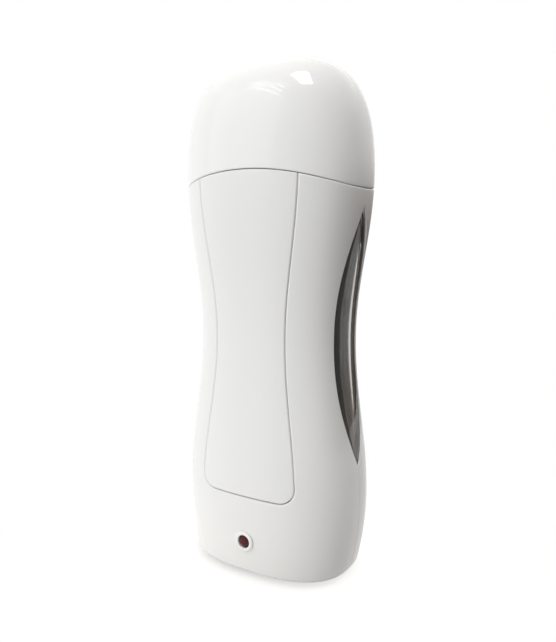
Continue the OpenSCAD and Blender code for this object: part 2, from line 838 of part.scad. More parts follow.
// Indicator lamp: a round-nosed light behind a raised ring in the front
lamp_len = 8.6;
lamp_sink = 0.9;        // from the ring's face back to the lamp's tip
lamp_foot = 0.4;        // step and thickness of the lamp's foot
lamp_foot_t = 1;
leg_r = 0.3;
leg_x = 1.27;
leg_out = 2;            // how far the legs run back before they turn down
lamp_tip = -half_d(lamp_z) - bezel_rise + lamp_sink;
lamp_back = lamp_tip + lamp_len;
module indicator_lamp() {
    color("darkred")
        translate([0, lamp_back, lamp_z])
            rotate([90, 0, 0]) {
                cylinder(r = lamp_r + lamp_foot, h = lamp_foot_t);
                cylinder(r = lamp_r, h = lamp_len - lamp_r);
                translate([0, 0, lamp_len - lamp_r])
                    sphere(r = lamp_r);
            }
    // Two wire legs, bent down to the board
    color("silver")
        for (x = [-leg_x, leg_x]) {
            translate([x, lamp_back - leg_r, lamp_z])
                rotate([-90, 0, 0])
                    cylinder(r = leg_r, h = leg_out + 2 * leg_r);
            translate([x, lamp_back + leg_out, board_z + slip])
                cylinder(r = leg_r, h = lamp_z - board_z - slip);
        }
}

ring_bevel = 0.7;
ring_step = 0.85;       // from the ring's edge in to its spigot
ring_tail = 1.5;        // how far the spigot reaches behind the wall
module indicator_ring() {
    face = -half_d(lamp_z);
    flange = bezel_rise - (half_d(lamp_z + bezel_r) - half_d(lamp_z)) - bite;
    color("white")
    difference() {
        translate([0, face - bezel_rise, lamp_z])
            rotate([-90, 0, 0]) {
                cylinder(r1 = bezel_r - ring_bevel, r2 = bezel_r, h = ring_bevel);
                translate([0, 0, ring_bevel])
                    cylinder(r = bezel_r, h = flange - ring_bevel);
                translate([0, 0, ring_bevel])
                    cylinder(r = bezel_r - ring_step, h = bezel_rise - ring_bevel + wall + ring_tail);
            }
        translate([0, face - 2 * bezel_rise, lamp_z])
            rotate([-90, 0, 0])
                cylinder(r = lamp_r + slip, h = 2 * bezel_rise + wall + ring_tail + over);
    }
}

// Two-pin inlet in the lower back: its outline grown by g, and a flange outside
inlet_proud = 1.3;
inlet_wall = 2;
inlet_flange = 3.5;
inlet_face = half_d(inlet_z) + inlet_proud;
inlet_seat_y = half_d(inlet_z + inlet_h / 2 + inlet_flange) + bite;
function inlet_outline(g) = round_rect(inlet_w + 2 * g, inlet_h + 2 * g, over + g);
module inlet_socket() {
    color("black")
    difference() {
        union() {
            translate([0, inlet_face - inlet_depth - inlet_wall, inlet_z])
                rotate([-90, 0, 0])
                    linear_extrude(inlet_depth + inlet_wall)
                        polygon(inlet_outline(inlet_wall));
            translate([0, inlet_seat_y, inlet_z])
                rotate([-90, 0, 0])
                    linear_extrude(inlet_face - inlet_seat_y)
                        polygon(inlet_outline(inlet_flange));
        }
        translate([0, inlet_face - inlet_depth, inlet_z])
            rotate([-90, 0, 0])
                linear_extrude(inlet_depth + over)
                    polygon(round_rect(inlet_w, inlet_h, inlet_h / 2 - bite));
        for (s = [-1, 1])
            translate([s * pin_pitch / 2, inlet_face - inlet_depth - inlet_wall - over, inlet_z])
                rotate([-90, 0, 0])
                    cylinder(r = inlet_root_r + press, h = inlet_wall + 2 * over);
    }
}

// The pins: a full free length in the opening, on a thinner root that passes the wall
inlet_root_r = inlet_pin_r - 0.2;
inlet_pin_tail = 3;
module inlet_pins() {
    floor_y = inlet_face - inlet_depth;
    color("silver")
    for (s = [-1, 1])
        translate([s * pin_pitch / 2, floor_y, inlet_z])
            rotate([-90, 0, 0]) {
                cylinder(r = inlet_pin_r, h = inlet_pin_len);
                translate([0, 0, -inlet_wall - inlet_pin_tail])
                    cylinder(r = inlet_root_r, h = inlet_wall + inlet_pin_tail + inlet_root_r);
            }
}

// A round wire that runs straight between a few points and turns in an even curve at each
bend_share = 0.45;      // share of a leg that the bend at its end takes up
function toward(a, b, d) = a + (b - a) * d / norm(b - a);
function bend_leg(p, i) = min(norm(p[i] - p[i - 1]), norm(p[i + 1] - p[i])) * bend_share;
function bend(p, i, steps) = let (
    a = toward(p[i], p[i - 1], bend_leg(p, i)),
    b = toward(p[i], p[i + 1], bend_leg(p, i)))
    [for (k = [0 : steps]) let (t = k / steps)
        (1 - t) * (1 - t) * a + 2 * t * (1 - t) * p[i] + t * t * b];
function bent(p, steps) = concat(
    [p[0]], [for (i = [1 : len(p) - 2]) each bend(p, i, steps)], [p[len(p) - 1]]);
module wire(path, r) {
    p = bent(path, 3);
    sides = 8;
    last = len(p) - 1;
    points = [for (i = [0 : last]) let (
        d = p[min(last, i + 1)] - p[max(0, i - 1)],
        t = d / norm(d),
        u0 = cross(t, [0.31, 0.95, 0.05]),
        u = u0 / norm(u0),
        v = cross(t, u))
        for (k = [0 : sides - 1]) p[i] + r * (cos(360 * k / sides) * u + sin(360 * k / sides) * v)];
    polyhedron(
        points = points,
        faces = concat(
            [for (i = [0 : last - 1]) for (k = [0 : sides - 1]) let (
                a = i * sides + k,
                b = i * sides + (k + 1) % sides)
                each [[a, b + sides, b], [a, a + sides, b + sides]]],
            fan([for (k = [0 : sides - 1]) k], false),
            fan([for (k = [0 : sides - 1]) last * sides + k], true)),
        convexity = 4);
}

// Leads: each leaves its end straight, turns, and passes the gate in the bay floor
wire_r = 0.7;
lamp_wire_r = 0.5;
lead = 2.4;             // straight end of a lead
turn = 7;               // room in which a lead turns upright
pin_end = inlet_face - inlet_depth - inlet_wall - inlet_pin_tail - seat;
rise_x = 0.7 * pin_pitch;
// The lamp's leads are soldered to the sides of the mains leads, halfway up their rise
splice = [(pin_pitch / 2 + rise_x) / 2, pin_end - lead - wire_r - slip, inlet_z + turn / 2];
module live_wire() {
    end = thermostat_z - thermostat_tab - seat;
    color("brown")
        wire([[-pin_pitch / 2, pin_end, inlet_z], [-pin_pitch / 2, pin_end - lead, inlet_z],
            [-rise_x, pin_end - lead, inlet_z + turn], [-rise_x, thermostat_y, bay_z - turn],
            [0, thermostat_y, end - lead], [0, thermostat_y, end]], wire_r);
}

module neutral_wire() {
    end = fuse_z - fuse_lead_len - seat;
    color("royalblue")
        wire([[pin_pitch / 2, pin_end, inlet_z], [pin_pitch / 2, pin_end - lead, inlet_z],
            [rise_x, pin_end - lead, inlet_z + turn], [rise_x, fuse_y, bay_z - turn],
            [rise_x, fuse_y, bay_z - bay_floor_t / 2], [fuse_x, fuse_y, end - lead],
            [fuse_x, fuse_y, end]], wire_r);
}

module link_wires() {
    end = element_z - tab_len - seat;
    color("ivory")
        for (from = [[0, thermostat_y, thermostat_end + thermostat_tab + seat, -1],
                [fuse_x, fuse_y, fuse_z + fuse_len + fuse_lead_len + seat, 1]]) let (
            start = [from[0], from[1], from[2]],
            x = from[3] * terminal_x)
            wire([start, start + [0, 0, lead], [x, terminal_y, end - lead],
                [x, terminal_y, end]], wire_r);
}

module lamp_wires() {
    color("ivory")
    for (s = [-1, 1])
        wire([[s * post_dx, board_y + post_dy, board_z + board_t + slip],
            [s * post_dx, board_y + post_dy, board_z + turn],
            [s * (post_dx - post_in), 0, inlet_z],
            [s * splice[0], splice[1] - lead, splice[2]],
            [s * splice[0], splice[1], splice[2]]], lamp_wire_r);
}

module case_screws() {
    color("silver")
        difference() {
            union() {
                screw_bars(screw_r, screw_tip_y, screw_seat_y + screw_head_h / 2);
                screw_bars(screw_head_r, screw_seat_y, screw_seat_y + screw_head_h);
            }
            // Cross slot in each head
            for (p = screw_places)
                translate([p[0], screw_seat_y + screw_head_h, p[1]])
                    for (a = [0, 90])
                        rotate([0, a, 0])
                            cube([3, 1.6, 0.7], center = true);
        }
}

module foot_pad() {
    color("gray")
        pad_shape(0, 0, pad_t - bite);
}

// Clear insert: a body that fills the opening, and a flange behind the wall
window_cols = 3;
window_behind = 1.2;
flange_t = 0.8;
module window() {
    grid = function (g, inset) [for (z = window_heights(g)) [for (j = [-window_cols : window_cols])
        let (y = window_half(z, g) * j / window_cols) [side_x(y, z, inset), y, z]]];
    slab(grid(0, window_recess), grid(0, wall + window_behind));
    slab(grid(window_flange, wall + slip), grid(window_flange, wall + slip + flange_t));
}

module window_right() {
    color([0.75, 0.78, 0.8, 0.5])
        window();
}

module window_left() {
    color([0.75, 0.78, 0.8, 0.5])
        mirror([1, 0, 0])
            window();
}

front_shell();
back_shell();
cap();
neck_collar();
door_panel();
door_springs();
spring_rivets();
hinge_pin();
bay_frame();
heat_sleeve();
heating_element();
element_strap();
strap_screws();
insulation_sheet();
thermostat();
thermal_fuse();
circuit_board();
indicator_lamp();
indicator_ring();
inlet_socket();
inlet_pins();
live_wire();
neutral_wire();
link_wires();
lamp_wires();
case_screws();
foot_pad();
window_right();
window_left();
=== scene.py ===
import math

import bpy
import numpy as np
from mathutils import Matrix, Vector


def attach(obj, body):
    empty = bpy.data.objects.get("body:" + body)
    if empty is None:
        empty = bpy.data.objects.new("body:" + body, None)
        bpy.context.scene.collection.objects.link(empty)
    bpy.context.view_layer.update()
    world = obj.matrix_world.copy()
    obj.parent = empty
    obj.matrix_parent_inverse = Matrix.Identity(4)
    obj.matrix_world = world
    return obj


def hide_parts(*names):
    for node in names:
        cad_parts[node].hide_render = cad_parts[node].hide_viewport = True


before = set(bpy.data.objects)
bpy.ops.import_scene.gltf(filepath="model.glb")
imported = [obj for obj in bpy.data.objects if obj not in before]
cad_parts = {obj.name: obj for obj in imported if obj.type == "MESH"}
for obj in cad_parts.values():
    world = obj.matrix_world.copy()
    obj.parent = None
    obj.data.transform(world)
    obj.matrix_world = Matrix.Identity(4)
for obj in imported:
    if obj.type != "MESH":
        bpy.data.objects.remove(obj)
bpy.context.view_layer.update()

# --- View and studio ----------------------------------------------------------
# The heater stands on a plain white table and is seen from its front right, a little
# from above. The room is bright on the left and dark on the right, and cards hung in
# it show in the gloss alone. Sizes are in millimetres; meshes and lamps get metres.
MM = 0.001
WHITE = (1, 1, 1)
scene = bpy.context.scene
scene.view_settings.view_transform = "Standard"

VIEW_TURN, VIEW_PITCH, VIEW_ROLL = (math.radians(a) for a in (31.2847, 7.3329, 0.3138))
VIEW_DISTANCE = 260.107
VIEW_AIM = Vector((-0.0218, -0.0133, 102.0312))
FOCAL_PIXELS, PHOTO_HEIGHT = 621.2575, 642
back = Vector((math.sin(VIEW_TURN) * math.cos(VIEW_PITCH),
               -math.cos(VIEW_TURN) * math.cos(VIEW_PITCH), math.sin(VIEW_PITCH)))
right = Vector((math.cos(VIEW_TURN), math.sin(VIEW_TURN), 0))
up = back.cross(right)
across = right * math.cos(VIEW_ROLL) + up * math.sin(VIEW_ROLL)
upward = up * math.cos(VIEW_ROLL) - right * math.sin(VIEW_ROLL)

lens = bpy.data.cameras.new("camera")
lens.sensor_width = 36
lens.lens = lens.sensor_width * FOCAL_PIXELS / PHOTO_HEIGHT
lens.clip_start = 10 * MM
camera = bpy.data.objects.new("camera", lens)
camera.matrix_world = (Matrix.Translation((VIEW_AIM + back * VIEW_DISTANCE) * MM)
                       @ Matrix((across, upward, back)).transposed().to_4x4())
scene.collection.objects.link(camera)
scene.camera = camera

KEY_PLACE, KEY_AIM = Vector((-620, -800, 620)), Vector((0, 0, 105))
KEY_SIZE, KEY_WATTS = 800, 0.8
soft_box = bpy.data.lights.new("key_left", "AREA")
soft_box.shape = "RECTANGLE"
soft_box.size = soft_box.size_y = KEY_SIZE * MM
soft_box.energy = KEY_WATTS
key = bpy.data.objects.new("key_left", soft_box)
key.location = KEY_PLACE * MM
key.rotation_euler = (KEY_AIM - KEY_PLACE).to_track_quat("-Z", "Y").to_euler()
scene.collection.objects.link(key)


def operator(operation, swapped=False):
    """A Python operator that adds a Math node. Swapped, its socket stands on the right."""
    def operate(socket, other):
        pair = (other, socket) if swapped else (socket, other)
        return socket.graph.add("ShaderNodeMath", {"operation": operation}, dict(enumerate(pair)))
    return operate


class Socket:
    """An output of a node, for use in Python expressions."""

    def __init__(self, graph, socket):
        self.graph, self.socket = graph, socket

    __add__, __radd__ = operator("ADD"), operator("ADD", True)
    __mul__, __rmul__ = operator("MULTIPLY"), operator("MULTIPLY", True)
    __sub__, __rsub__ = operator("SUBTRACT"), operator("SUBTRACT", True)
    __truediv__, __rtruediv__ = operator("DIVIDE"), operator("DIVIDE", True)
    __pow__ = operator("POWER")

    def math(self, operation, *values):
        return self.graph.add("ShaderNodeMath", {"operation": operation},
                              dict(enumerate((self,) + values)))

    def of(self, name):
        """Another output of the same node."""
        return Socket(self.graph, self.socket.node.outputs[name])


class Graph:
    """A node tree that is filled one node at a time."""

    def __init__(self, tree):
        self.tree = tree

    def add(self, kind, settings=None, sockets=None):
        """One node: its settings first, then the values or links of its sockets."""
        node = self.tree.nodes.new(kind)
        for key, setting in (settings or {}).items():
            setattr(node, key, setting)
        for key, value in (sockets or {}).items():
            socket = (node.inputs[key] if isinstance(key, int) else
                      next(s for s in node.inputs if s.name == key and s.enabled))
            if isinstance(value, Socket):
                self.tree.links.new(value.socket, socket)
            elif isinstance(value, tuple) and socket.type == "RGBA":
                socket.default_value = (*value, 1)
            else:
                socket.default_value = value
        outputs = [s for s in node.outputs if s.enabled]
        return Socket(self, outputs[0]) if outputs else None


def material(name, paint):
    """A material whose nodes are laid by paint(graph), which returns its surface."""
    made = bpy.data.materials.new(name)
    made.use_nodes = True
    made.node_tree.nodes.clear()
    graph = Graph(made.node_tree)
    graph.add("ShaderNodeOutputMaterial", None, {"Surface": paint(graph)})
    return made


def at(graph, kind="Object"):
    """The place of a point: Object coordinates, UV, or a direction in the room."""
    return graph.add("ShaderNodeTexCoord").of(kind)


def xyz(graph, vector):
    """The X of a vector; .of("Y") and .of("Z") are its others."""
    return graph.add("ShaderNodeSeparateXYZ", None, {0: vector})


def mixed(graph, share, first, second):
    """A colour that goes from the first to the second."""
    return graph.add("ShaderNodeMix", {"data_type": "RGBA"}, {"Factor": share, "A": first, "B": second})


def layered(graph, share, first, second):
    return graph.add("ShaderNodeMixShader", None, {0: share, 1: first, 2: second})


def glowing(graph, strength, colour=WHITE):
    return graph.add("ShaderNodeEmission", None, {"Color": colour, "Strength": strength})


def faded(graph, value, low, high, start=0.0, end=1.0):
    """A value's smooth passage from start to end while it goes from low to high."""
    return graph.add("ShaderNodeMapRange", {"interpolation_type": "SMOOTHSTEP"}, {
        "Value": value, "From Min": low, "From Max": high, "To Min": start, "To Max": end})


def seen(graph):
    """1 where the camera, a gloss or clear plastic looks, 0 where light is gathered."""
    path = graph.add("ShaderNodeLightPath")
    return (path + path.of("Is Glossy Ray") + path.of("Is Transmission Ray")).math("MINIMUM", 1.0)


DARK_SIDE = 0.906, 0.42


def to_dark_side(graph, vector):
    """How far a place or a direction lies toward the dark side of the room."""
    side = xyz(graph, vector)
    return DARK_SIDE[0] * side + DARK_SIDE[1] * side.of("Y")


def paint_table(graph):
    """White to the eye. What it gives back to the object fades toward the dark side, and
    near the foot it is a plain surface, which keeps the object's shadow."""
    place = at(graph)
    sideways, eye = to_dark_side(graph, place), seen(graph)
    shade = faded(graph, sideways, -0.05, 0.05)
    cloth = graph.add("ShaderNodeBsdfDiffuse", None, {
        "Color": mixed(graph, shade, (0.88, 0.87, 0.86), (0.22, 0.215, 0.21))})
    near = graph.add("ShaderNodeAddShader", None, {
        0: cloth, 1: glowing(graph, eye * (0.22 + 0.60 * shade))})
    given_back = faded(graph, sideways, -0.08, 0.11, 0.88, 0.03)
    far = glowing(graph, eye.math("MAXIMUM", given_back))
    away = graph.add("ShaderNodeVectorMath", {"operation": "LENGTH"}, {0: place}).of("Value")
    return layered(graph, faded(graph, away, 0.04, 0.13), near, far)


TABLE_REACH = 4000 * MM
table = bpy.data.objects.new("table", bpy.data.meshes.new("table"))
table.data.from_pydata([(x * TABLE_REACH, y * TABLE_REACH, 0)
                        for x, y in ((-1, -1), (1, -1), (1, 1), (-1, 1))], [], [(0, 1, 2, 3)])
table.data.materials.append(material("table_white", paint_table))
scene.collection.objects.link(table)


def paint_room(graph):
    """White to the eye; its light comes from walls and a ceiling that differ by side."""
    way = at(graph, "Generated")
    dim = faded(graph, to_dark_side(graph, way), -0.04, 0.68)
    walls = mixed(graph, dim, (1.33, 1.33, 1.32), (0.06, 0.045, 0.035))
    ceiling = mixed(graph, dim, (0.58, 0.58, 0.57), (5.2, 5.05, 4.9))
    light = mixed(graph, faded(graph, xyz(graph, way).of("Z"), 0.70, 0.80), walls, ceiling)
    return graph.add("ShaderNodeBackground", None, {"Color": mixed(graph, seen(graph), light, WHITE)})


world = bpy.data.worlds.new("studio")
world.use_nodes = True
world.node_tree.nodes.clear()
room = Graph(world.node_tree)
room.add("ShaderNodeOutputWorld", None, {"Surface": paint_room(room)})
scene.world = world


def studio_card(name, low, high, paint):
    """A card that only glossy surfaces show, hung between two rows of points."""
    card = bpy.data.objects.new(name, bpy.data.meshes.new(name))
    last = len(low) - 1
    card.data.from_pydata([tuple(v * MM for v in point) for point in (*low, *high)], [],
                          [(i, i + 1, last + i + 2, last + i + 1) for i in range(last)])
    uv = card.data.uv_layers.new(name="card")
    for loop in card.data.loops:
        row, i = divmod(loop.vertex_index, last + 1)
        uv.data[loop.index].uv = (i / last, row)
    card.data.materials.append(material(name, paint))
    card.visible_camera = card.visible_diffuse = False
    card.visible_shadow = card.visible_transmission = False
    scene.collection.objects.link(card)


SLATS = 4


def paint_blinds(graph):
    """Slats of light, with nothing between them."""
    height = xyz(graph, at(graph, "UV")).of("Y")
    wave = ((height * SLATS - 0.25) * (2 * math.pi)).math("SINE")
    return layered(graph, faded(graph, wave, 0.3, 0.8), graph.add("ShaderNodeBsdfTransparent"),
                   glowing(graph, 4.5))


def paint_flag(graph):
    """A dark cloth with soft edges."""
    place = xyz(graph, at(graph, "UV"))
    inside = (faded(graph, place, 0.0, 0.35) * faded(graph, place, 0.88, 1.0, 1.0, 0.0)
              * faded(graph, place.of("Y"), 0.45, 0.95, 1.0, 0.0))
    return layered(graph, inside, graph.add("ShaderNodeBsdfTransparent"),
                   glowing(graph, 1.0, (0.16, 0.13, 0.11)))


# The blinds and the pane hang where the cap mirrors them to the camera, as the two
# highlights on it. The ceiling brightens its top, and the flag darkens the right side.
studio_card("blinds", ((-331, -319, 595), (-164, -460, 558)), ((-314, -253, 647), (-65, -378, 666)),
            paint_blinds)
studio_card("pane", ((-84, -257, 736), (53, -362, 683), (196, -287, 699)),
            ((-41, -192, 767), (14, -165, 775), (68, -138, 781)), lambda graph: glowing(graph, 7.0))
CEILING_EDGE = ((-1100, -400), (-716, -479), (-207, -575), (250, -452), (778, -259), (1300, -100))
CEILING_BACK, CEILING_Z = 1500, 1000
studio_card("ceiling", [(x, y, CEILING_Z) for x, y in CEILING_EDGE],
            [(x, CEILING_BACK, CEILING_Z) for x, _ in CEILING_EDGE], lambda graph: glowing(graph, 1.15))
FLAG_RADIUS, FLAG_LOW, FLAG_TOP = 400, 2, 260
bow = [math.radians(a) for a in range(-52, 113, 4)]
studio_card("flag", *([(FLAG_RADIUS * math.cos(a), FLAG_RADIUS * math.sin(a), z) for a in bow]
                      for z in (FLAG_LOW, FLAG_TOP)), paint_flag)


# --- Front shell --------------------------------------------------------------
# Front half of the case, injection moulded in glossy white plastic, 2.2 mm thick.
# Its outline swells at the shoulder and the hip. The door's aperture has rounded
# edges, and its rim follows the arched seam under the cap.
SHOULDER_Z, WAIST_Z, HIP_Z = 161.8, 98.0, 31.0
SHOULDER, WAIST, HIP, BASE = (77.7, 52.0), (65.2, 45.2), (77.4, 51.2), (69.2, 48.4)
SQUARENESS = 2.6
WALL = 2.2
BASE_Z, FLOOR_Z = 0.4, 2.8
ROUND_W, ROUND_H, ROUND_RUN = 10.0, 3.0, 12.0
ROUND_TOP = BASE_Z + ROUND_H
SEAM_Z, SEAM_RADIUS, SEAM_START = 161.6, 115.0, 150.0
DOOR_INSET, DOOR_LOW, DOOR_CORNER, DOOR_GAP = 17.0, 34.5, 6.0, 0.45
WINDOW_Z, WINDOW_REACH, WINDOW_HALF, WINDOW_POWER, WINDOW_GAP = 97.5, 51.5, 9.8, 3, 0.15
PAD_W, PAD_D, PAD_TOP, PAD_GAP = 44.2, 23.4, 1.2, 0.15
PAD_CORNER = PAD_D / 3
CORNER_TOP = DOOR_LOW + DOOR_CORNER
DOOR_EDGE, RIM_EDGE, SPLIT_EDGE = 0.6, 0.55, 0.25
# Shares of a rounded edge's radius at which its rows lie
EDGE = (0, 0.034, 0.134, 0.293, 0.5, 0.741, 1)
# Rows that run parallel to the aperture take SPREAD, those that open out to the border
# count as OPENED more, and at a distance of FAR no edge is rounded any more
SPREAD, OPENED, FAR = 2.4, 25.0, 30.0
SQUARED = 8.0      # within this distance of an edge the wall turns square to it
SHARP = math.radians(35)


def ease(t):
    return (1 - np.cos(np.pi * np.clip(t, 0, 1))) / 2


def half(z, axis):
    """Half of the case's width (axis 0) or depth (axis 1) at height z."""
    shoulder, waist, hip, base = (size[axis] / 2 for size in (SHOULDER, WAIST, HIP, BASE))
    upper = waist + (shoulder - waist) * ease((z - WAIST_Z) / (SHOULDER_Z - WAIST_Z))
    lower = waist + (hip - waist) * ease((WAIST_Z - z) / (WAIST_Z - HIP_Z))
    foot = base + (hip - base) * (1 - np.clip((HIP_Z - z) / HIP_Z, 0, None) ** 2)
    return np.where(z >= WAIST_Z, upper, np.where(z >= HIP_Z, lower, foot))


def front_y(x, z, inset=0.0):
    return -(half(z, 1) - inset) * np.clip(
        1 - np.abs(x / (half(z, 0) - inset)) ** SQUARENESS, 0, 1) ** (1 / SQUARENESS)


def side_x(y, z, inset=0.0):
    return (half(z, 0) - inset) * np.clip(
        1 - np.abs(y / (half(z, 1) - inset)) ** SQUARENESS, 0, 1) ** (1 / SQUARENESS)


def arch(x):
    return SEAM_Z - SEAM_RADIUS + np.sqrt(SEAM_RADIUS ** 2 - x ** 2)


def drawn_up(level, x):
    """Height of a level line at x: the lines near the top follow the arched seam."""
    share = np.clip((level - SEAM_START) / (SEAM_Z - SEAM_START), 0, None)
    return np.where(level > SEAM_START, SEAM_START + share * (arch(x) - SEAM_START), level)


def turn_of(x, y, z):
    return np.arctan2(y / half(z, 1), x / half(z, 0))


def on_case(turn, level, depth=0.0):
    """Point of the case wall. Levels under ROUND_TOP run on round the bottom edge. Under
    the arched seam x and z depend on each other, and five rounds settle them."""
    lean = np.pi / 2 * (1 - np.clip((ROUND_TOP - level) / ROUND_RUN, 0, 1))
    inset = ROUND_W * (1 - np.sin(lean)) + depth
    cos, sin = np.cos(turn), np.sin(turn)
    reach = (np.abs(cos) ** SQUARENESS + np.abs(sin) ** SQUARENESS) ** (-1 / SQUARENESS)
    z = np.where(level > ROUND_TOP, level, BASE_Z + ROUND_H * (1 - np.cos(lean)))
    for _ in range(5):
        x = (half(z, 0) - inset) * cos * reach
        z = np.where(level > SEAM_START, drawn_up(level, x), z)
    y = (half(z, 1) - inset) * sin * reach
    return np.stack([x, y, np.where(np.asarray(depth) > 1, np.maximum(z, FLOOR_Z), z)], -1)


def rounded(distance, radius):
    """How far a rounded edge falls back at this distance from the edge."""
    t = np.clip(1 - distance / radius, 0, 1)
    return radius * (1 - np.sqrt(1 - t * t))


def window_half(z, gap=0.0):
    """Half of a side window's width at height z, from tip to tip."""
    share = np.clip(np.abs(z - WINDOW_Z) / (WINDOW_REACH + gap), 0, 1)
    return (WINDOW_HALF + gap) * (1 - share ** WINDOW_POWER)


def split_half(z):
    """Half of the opening between the two shells: the parting line, and the window."""
    return np.maximum(0.02, window_half(z, WINDOW_GAP))


def levels(*stops):
    """Heights from the first stop to the last, with the given number of steps between."""
    rows = [np.linspace(a, b, n, endpoint=False)
            for a, n, b in zip(stops[::2], stops[1::2], stops[2::2])]
    return np.concatenate(rows + [[stops[-1]]])


def window_levels(count):
    return WINDOW_Z + (WINDOW_REACH + WINDOW_GAP) * np.cos(np.linspace(0, np.pi, count + 1))


def quads(rows, cols, first=0, wrap=False):
    """Faces of a grid of points; a wrapped grid closes on its first column."""
    i, j = np.meshgrid(np.arange(rows - 1), np.arange(cols if wrap else cols - 1), indexing="ij")
    a, b = first + i * cols + j, first + i * cols + (j + 1) % cols
    return np.stack([a, b, b + cols, a + cols], -1).reshape(-1, 4)


def patches(*grids):
    """Grids of (outer, inner) points side by side, with the points that they share joined."""
    outer = np.concatenate([g[0].reshape(-1, 3) for g in grids])
    inner = np.concatenate([g[1].reshape(-1, 3) for g in grids])
    faces, first = [], 0
    for g in grids:
        faces.append(quads(*g[0].shape[:2], first))
        first += g[0].shape[0] * g[0].shape[1]
    _, kept, joined = np.unique(np.round(outer, 4), axis=0, return_index=True, return_inverse=True)
    faces = joined.reshape(-1)[np.concatenate(faces)]
    return outer[kept], inner[kept], faces


def walled(outer, inner, faces):
    """Closed solid from an outer and an inner layer. Each open edge gets a side wall."""
    n = len(outer)
    edges = np.concatenate([faces[:, [k, (k + 1) % 4]] for k in range(4)])
    there = set(map(tuple, edges[edges[:, 0] != edges[:, 1]]))
    a, b = np.array([edge for edge in there if edge[::-1] not in there]).T
    sides = np.stack([b, a, a + n, b + n], -1)
    return np.concatenate([outer, inner]), np.concatenate([faces, faces[:, ::-1] + n, sides])


def outward(points, faces):
    """The faces turned so that a closed mesh faces outwards."""
    a, b, c, d = (points[faces[:, k]] for k in range(4))
    volume = (a * np.cross(b, c)).sum() + (a * np.cross(c, d)).sum()
    return faces if volume > 0 else faces[:, ::-1]


def solid(name, parts, finish):
    """A mesh object from closed parts, each (points in mm, four-cornered faces)."""
    points, faces, first = [], [], 0
    for p, f in parts:
        points.append(p)
        faces.append(outward(p, f) + first)
        first += len(p)
    points = np.concatenate(points)
    corners = [tuple(dict.fromkeys(f)) for f in np.concatenate(faces).tolist()]
    mesh = bpy.data.meshes.new(name)
    mesh.from_pydata((points * MM).tolist(), [], [c for c in corners if len(c) > 2])
    mesh.validate()
    return finished(bpy.data.objects.new(name, mesh), finish)


def finished(piece, finish):
    piece.data.polygons.foreach_set("use_smooth", [True] * len(piece.data.polygons))
    piece.data.set_sharp_from_angle(angle=SHARP)
    piece.data.materials.clear()
    piece.data.materials.append(finish)
    scene.collection.objects.link(piece)
    return piece


def stands_for(piece, body, slot, *nodes):
    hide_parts(*nodes)
    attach(piece, body)


def noise(graph, scale, detail, roughness=0.5):
    """Clouds in the piece's own frame. Three scales stretch them by axis."""
    where = at(graph)
    if isinstance(scale, tuple):
        where = graph.add("ShaderNodeMapping", None, {"Vector": where, "Scale": scale})
        scale = 1.0
    return graph.add("ShaderNodeTexNoise", None, {
        "Vector": where, "Scale": scale, "Detail": detail, "Roughness": roughness})


def bump(graph, height, strength, distance=0.2 * MM):
    return graph.add("ShaderNodeBump", None, {
        "Strength": strength, "Distance": distance, "Height": height})


def moulded(name, colour, shade, roughness, coat, grain=0.05):
    """Glossy moulded plastic: clouded colour, a faint flow pattern in the gloss and
    the fine orange peel of a polished mould."""
    def paint(graph):
        flow = noise(graph, (90, 90, 14), 5.0, 0.6)
        peel = noise(graph, 1500.0, 2.0)
        return graph.add("ShaderNodeBsdfPrincipled", None, {
            "Base Color": mixed(graph, noise(graph, 26.0, 4.0, 0.55), colour, shade),
            "Roughness": roughness + 0.03 * (flow - 0.5), "IOR": 1.49,
            "Coat Weight": coat, "Coat Roughness": 0.05, "Coat IOR": 1.5,
            "Normal": bump(graph, peel + 0.15 * flow, grain)})
    return material(name, paint)


case_white = moulded("case_white", (0.83, 0.83, 0.82), (0.80, 0.80, 0.79), 0.28, 0.6)


def door_half(level):
    return half(np.maximum(level, CORNER_TOP), 0) - DOOR_INSET


def door_side(level, grow):
    """Side of the door's outline, seen from the front and grown outwards."""
    return np.stack([door_half(level) + grow, level], -1)


def door_corner(angle, grow):
    """Lower right corner of the outline; angle 0 is its side, 90 degrees its bottom."""
    centre = door_half(CORNER_TOP) - DOOR_CORNER, CORNER_TOP
    return np.stack([centre[0] + (DOOR_CORNER + grow) * np.cos(angle),
                     centre[1] - (DOOR_CORNER + grow) * np.sin(angle)], -1)


# Rows of the shells: round the rim's edge, down to the windows' upper tips, along the
# windows, and on to the corner of the aperture, which has columns of its own
ROW_STEP = 0.4
rim_rows = SEAM_Z - RIM_EDGE * np.array(EDGE)
case_levels = np.concatenate([
    rim_rows, levels(rim_rows[-1] - 2 * ROW_STEP, 8, WINDOW_Z + WINDOW_REACH + ROW_STEP),
    window_levels(110), levels(WINDOW_Z - WINDOW_REACH - ROW_STEP, 3, CORNER_TOP + ROW_STEP)])
corner_turns = np.radians(np.linspace(0, 90, 73))
bottom_x = np.linspace(1, -1, 41)[1:-1] * (door_half(CORNER_TOP) - DOOR_CORNER)


def aperture(grow):
    """The door's aperture as (x, level): down the right side, round, and up the left."""
    side, corner = door_side(case_levels, grow), door_corner(corner_turns, grow)
    bottom = np.stack([bottom_x, np.full(len(bottom_x), DOOR_LOW - grow)], -1)
    mirror = np.array([-1, 1])
    return np.concatenate([side, corner, bottom, corner[::-1] * mirror, side[::-1] * mirror])


